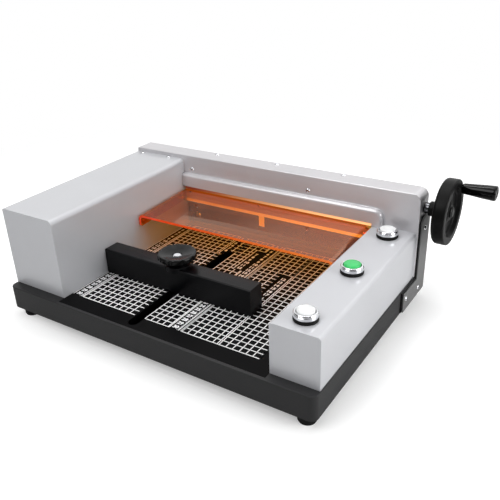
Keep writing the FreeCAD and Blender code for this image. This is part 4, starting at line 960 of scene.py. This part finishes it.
class CUTTER_OT_buttons(bpy.types.Operator):
    """Turn the bright rings, the caps with their grooves, and the gaskets"""
    bl_idname = "cutter.buttons"
    bl_label = "Push buttons"

    def execute(self, context):
        groove = context.scene.cutter_sizes.cap_groove / MM
        head = span("button_bezels")[1].z
        foot = span("button_gaskets")[1].z
        bore = 11.6
        outer = 14.8
        neck = 14.2
        ring = [(bore, foot), (outer - 0.9, foot, 0.3), (outer, foot + 1.2, 0.8), (outer, foot + 4.6, 0.4),
                (neck, foot + 5.1, 0.2), (neck, foot + 5.5, 0.2), (outer - 0.1, foot + 6.0, 0.4),
                (13.6, head, 0.9), (12.2, head, 0.5), (bore, head - 0.8)]
        rings = bmesh.new()
        for node, body, finish in (("button_front", "front_cap", "white_cap"),
                                   ("button_middle", "middle_cap", "green_cap"),
                                   ("button_back", "back_cap", "white_cap")):
            at = middle(node)
            centre = (at.x, at.y, 0)
            top = span(node)[1].z
            edge = bore - 0.75
            cap = [(0, foot + 3.6), (edge, foot + 3.6), (edge, top - 0.3, 0.9), (9.7, top, 0.2),
                   (9.6, top - groove, 0.1), (8.9, top - groove, 0.1), (8.8, top, 0.2), (0, top)]
            turned(node, body, finish, cap, centre, "z", BUTTON_STEPS)
            mesh = as_mesh("ring", lathe(ring, centre, "z", BUTTON_STEPS))
            rings.from_mesh(mesh)
            bpy.data.meshes.remove(mesh)
        piece = finished("button_rings", as_mesh("button_rings", rings), "frame", "bright")
        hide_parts("button_bezels")
        dressed("button_gaskets", "frame", "rubber", context.scene.cutter_sizes.cast_edge)
        return {"FINISHED"}


class CUTTER_OT_hand_wheel(bpy.types.Operator):
    """Turn the hand wheel and the grip on its rim"""
    bl_idname = "cutter.hand_wheel"
    bl_label = "Hand wheel"

    def execute(self, context):
        low, high = span("hand_wheel")
        rim = (high.y - low.y) / 2
        bore = 5.2
        hub = 10.5
        boss = 15
        web_out = WHEEL_OUT - 7
        web_in = WHEEL_IN + 4
        wheel = [(bore, low.x), (hub, low.x, 1.2), (hub, WHEEL_IN - 2, 3), (boss, web_in, 3),
                 (rim - 15, web_in, 3), (rim - 12, WHEEL_IN, 1.5), (rim, WHEEL_IN, 4.5),
                 (rim, WHEEL_OUT, 1.6), (rim - 11, WHEEL_OUT, 1.2), (rim - 13, web_out, 3),
                 (boss, web_out, 3), (hub, WHEEL_OUT - 4, 1.5), (bore, WHEEL_OUT - 4)]
        turned("hand_wheel", "wheel", "wheel_plastic", wheel, (0, SCREW_AXIS.y, SCREW_AXIS.z), "x", 144)
        dressed("wheel_nut", "wheel", "black_plastic", context.scene.cutter_sizes.cast_edge)

        low, high = span("grip")
        axis = middle("grip")
        root = 7.4
        tip = (high.z - low.z) / 2
        bore = 3.1
        dish = high.x - 0.7
        depth = high.x - 4.8
        grip = [(bore, low.x), (root - 0.8, low.x, 0.5), (root, low.x + 1.6, 1.5),
                (root + 0.9, low.x + 13, 40), (tip - 0.8, high.x - 17, 40), (tip, high.x - 4, 5),
                (tip, high.x, 2.6), (tip - 4.5, high.x, 0.6), (tip - 5, dish, 0.4), (0, dish),
                (0, depth), (bore, depth)]
        turned("grip", "grip_sleeve", "gloss_plastic", grip, (0, axis.y, axis.z), "x", 96)
        return {"FINISHED"}


class CUTTER_OT_mechanism(bpy.types.Operator):
    """Break the edges of the clamp, the guards and the mains inlet"""
    bl_idname = "cutter.mechanism"
    bl_label = "Mechanism"

    def execute(self, context):
        edge = context.scene.cutter_sizes.fine_edge
        dressed("clamp_bar", "clamp", "steel", edge)
        for side in ("left", "right"):
            dressed(f"guard_plate_{side}", "clamp", "guard", edge)
        self.clamp_face()
        dressed("clamp_screw", "wheel", "shaft", edge)
        self.flap()
        dressed("power_inlet", "frame", "black_plastic", edge)
        return {"FINISHED"}

    def clamp_face(self):
        """A dark lip under the guards, which paints the shadow along the clamp's lower edge, and a pale
        strip in the gap between them, which the rail's finish gives a painted glow.
        """
        left_low, left_high = span("guard_plate_left")
        right_low, right_high = span("guard_plate_right")
        bar = span("clamp_bar")[0]
        lip = block((left_low.x, left_low.y, bar.z), (right_high.x, bar.y, left_low.z))
        finished("guard_lip", as_mesh("guard_lip", lip), "clamp", "guard")
        strip = block((left_high.x, bar.y - 0.6, left_low.z + 0.4), (right_low.x, bar.y, left_high.z))
        finished("clamp_tab", as_mesh("clamp_tab", strip), "clamp", "rail")

    def flap(self):
        """Dark sheet with the rubber finish, slit into fingers, that hangs over the opening at the back of
        the throat, as painted shade that keeps the throat dark.
        """
        inner = span("rear_cover")[0].y
        left, right = (corner.x for corner in span("cutting_stick"))
        foot = TABLE_Z + 1
        head = TABLE_Z + 49
        thick = 1.2
        edge = 4
        gap = 0.6
        count = 16
        pitch = (right - left - 2 * edge) / count
        size = ((pitch - gap) * MM, thick * MM, (head - foot) * MM)
        fingers = []
        for index in range(count):
            at = (left + edge + (index + 0.5) * pitch, inner - thick / 2, (foot + head) / 2)
            fingers.append((at, UP, size))
        repeated("rear_flap", unit_block(), fingers, "frame", "rubber")


class CUTTER_OT_stage(bpy.types.Operator):
    """Lay the floor, hang the lamps and set the camera"""
    bl_idname = "cutter.stage"
    bl_label = "Stage"

    def execute(self, context):
        scene = context.scene
        scene.view_settings.view_transform = "Standard"
        self.floor(scene)
        self.lamps(scene)
        self.world(scene)
        self.camera(scene)
        return {"FINISHED"}

    def floor(self, scene):
        """Pale floor that keeps the shadow near the machine, with more shade painted in close to it, and
        is plain white further off.
        """
        mesh = bpy.data.meshes.new("floor")
        reach = 8
        mesh.from_pydata([(-reach, -reach, 0), (reach, -reach, 0), (reach, reach, 0), (-reach, reach, 0)],
                         [], [(0, 1, 2, 3)])
        floor = bpy.data.objects.new("floor", mesh)
        scene.collection.objects.link(floor)
        tree = Finish("floor")
        rays = tree.node("ShaderNodeLightPath")
        seen = rays["Is Camera Ray"].math("MAXIMUM", rays["Is Transmission Ray"])
        wear = tree.noise(1.5, 3)
        shine = 0.75
        tone = tree.blend(wear.step(0.3, 0.7), (shine * 1.01,) * 3, (shine * 0.99,) * 3)
        matt = tree.node("ShaderNodeBsdfDiffuse", {}, {"Color": tone})["BSDF"]
        away = tree.node("ShaderNodeVectorMath", {"operation": "LENGTH"}, {0: tree.place})["Value"]
        # Painted shade: within about a quarter metre the floor glows less, so it is darker close to the
        # machine than its lamps make it.
        glow = tree.mix(away.step(0.25, 0.45), tree.shining(0.35), tree.shining(0.6))
        near = tree.node("ShaderNodeAddShader", {}, {0: matt, 1: glow})["Shader"]
        shown = tree.mix(away.step(0.55, 1.1), near, tree.shining(1.0))
        tree.output(tree.mix(seen, matt, shown))
        mesh.materials.append(FINISHES["floor"])

    def lamps(self, scene):
        """Soft lamps in metres and watts, turned to the middle of the machine."""
        target = Vector((0, 0, 0.08))
        for name, place, width, depth, power in (
                ("key", (0.0, 0.3, 2.0), 1.6, 1.6, 12.4),
                ("side", (1.05, 0.0, 0.5), 0.6, 0.6, 6.6),
                ("front", (-0.6, -1.4, 1.8), 1.3, 1.3, 24.0),
                ("back", (0.3, 1.7, 1.3), 1.2, 1.2, 3.0),
                ("strip", (-0.2, 0.1, 1.3), 0.9, 0.05, 2.4)):
            light = bpy.data.lights.new(name, "AREA")
            light.shape = "RECTANGLE"
            light.size = width
            light.size_y = depth
            light.energy = power
            lamp = bpy.data.objects.new(name, light)
            lamp.location = place
            lamp.rotation_euler = (target - Vector(place)).to_track_quat("-Z", "Y").to_euler()
            scene.collection.objects.link(lamp)

    def world(self, scene):
        """White to the eye, a soft grey light on everything, and in reflections white behind the
        machine and dark before it, like a studio."""
        scene.world = bpy.data.worlds.new("studio")
        scene.world.use_nodes = True
        tree = Tree(scene.world.node_tree)
        rays = tree.node("ShaderNodeLightPath")
        direction = tree.node("ShaderNodeTexCoord")["Generated"]
        backward = tree.node("ShaderNodeSeparateXYZ", {}, {"Vector": direction})["Y"]
        dark = 0.16
        strength = 0.13
        mirrored = backward.step(-0.3, 0.45).spread(dark, 1)
        for name, value in (("Is Glossy Ray", mirrored), ("Is Transmission Ray", 1), ("Is Camera Ray", 1)):
            inputs = {"Factor": rays[name], "A": strength, "B": value}
            strength = tree.node("ShaderNodeMix", {}, inputs)["Result"]
        background = tree.node("ShaderNodeBackground", {}, {"Color": (1, 1, 1), "Strength": strength})
        tree.node("ShaderNodeOutputWorld", {}, {"Surface": background["Background"]})

    def camera(self, scene):
        """The lens, shift and place fitted to the printed squares and the housing edges."""
        lens = bpy.data.cameras.new("camera")
        lens.sensor_width = 36
        lens.lens = FOCAL_PIXELS / PHOTO_PIXELS * lens.sensor_width
        lens.shift_x = 0.5 - CENTRE_PIXEL[0] / PHOTO_PIXELS
        lens.shift_y = CENTRE_PIXEL[1] / PHOTO_PIXELS - 0.5
        lens.clip_start = 0.01
        camera = bpy.data.objects.new("camera", lens)
        camera.location = CAMERA_PLACE
        camera.rotation_euler = Euler([math.radians(turn) for turn in CAMERA_TURN], "XYZ")
        scene.collection.objects.link(camera)
        scene.camera = camera


STEPS = (CUTTER_OT_finishes, CUTTER_OT_sheet_metal, CUTTER_OT_base, CUTTER_OT_table_print,
         CUTTER_OT_screws, CUTTER_OT_cover, CUTTER_OT_gauge, CUTTER_OT_buttons, CUTTER_OT_hand_wheel,
         CUTTER_OT_mechanism, CUTTER_OT_stage)


class CUTTER_PT_panel(bpy.types.Panel):
    """Lists the steps and the settings"""
    bl_idname = "CUTTER_PT_panel"
    bl_label = "Paper cutter"
    bl_space_type = "VIEW_3D"
    bl_region_type = "UI"
    bl_category = "Cutter"

    def draw(self, context):
        layout = self.layout
        for step in STEPS:
            layout.operator(step.bl_idname)
        for group in (context.scene.cutter_sizes, context.scene.cutter_colours):
            box = layout.box()
            for name in group.__annotations__:
                box.prop(group, name)


CLASSES = (CutterColours, CutterSizes, *STEPS, CUTTER_PT_panel)


def register():
    for item in CLASSES:
        bpy.utils.register_class(item)
    bpy.types.Scene.cutter_colours = bpy.props.PointerProperty(type=CutterColours)
    bpy.types.Scene.cutter_sizes = bpy.props.PointerProperty(type=CutterSizes)


def unregister():
    del bpy.types.Scene.cutter_sizes
    del bpy.types.Scene.cutter_colours
    for item in reversed(CLASSES):
        bpy.utils.unregister_class(item)


def main():
    register()
    bpy.ops.cutter.finishes()
    bpy.ops.cutter.sheet_metal()
    bpy.ops.cutter.base()
    bpy.ops.cutter.table_print()
    bpy.ops.cutter.screws()
    bpy.ops.cutter.cover()
    bpy.ops.cutter.gauge()
    bpy.ops.cutter.buttons()
    bpy.ops.cutter.hand_wheel()
    bpy.ops.cutter.mechanism()
    bpy.ops.cutter.stage()


if __name__ == "__main__":
    main()
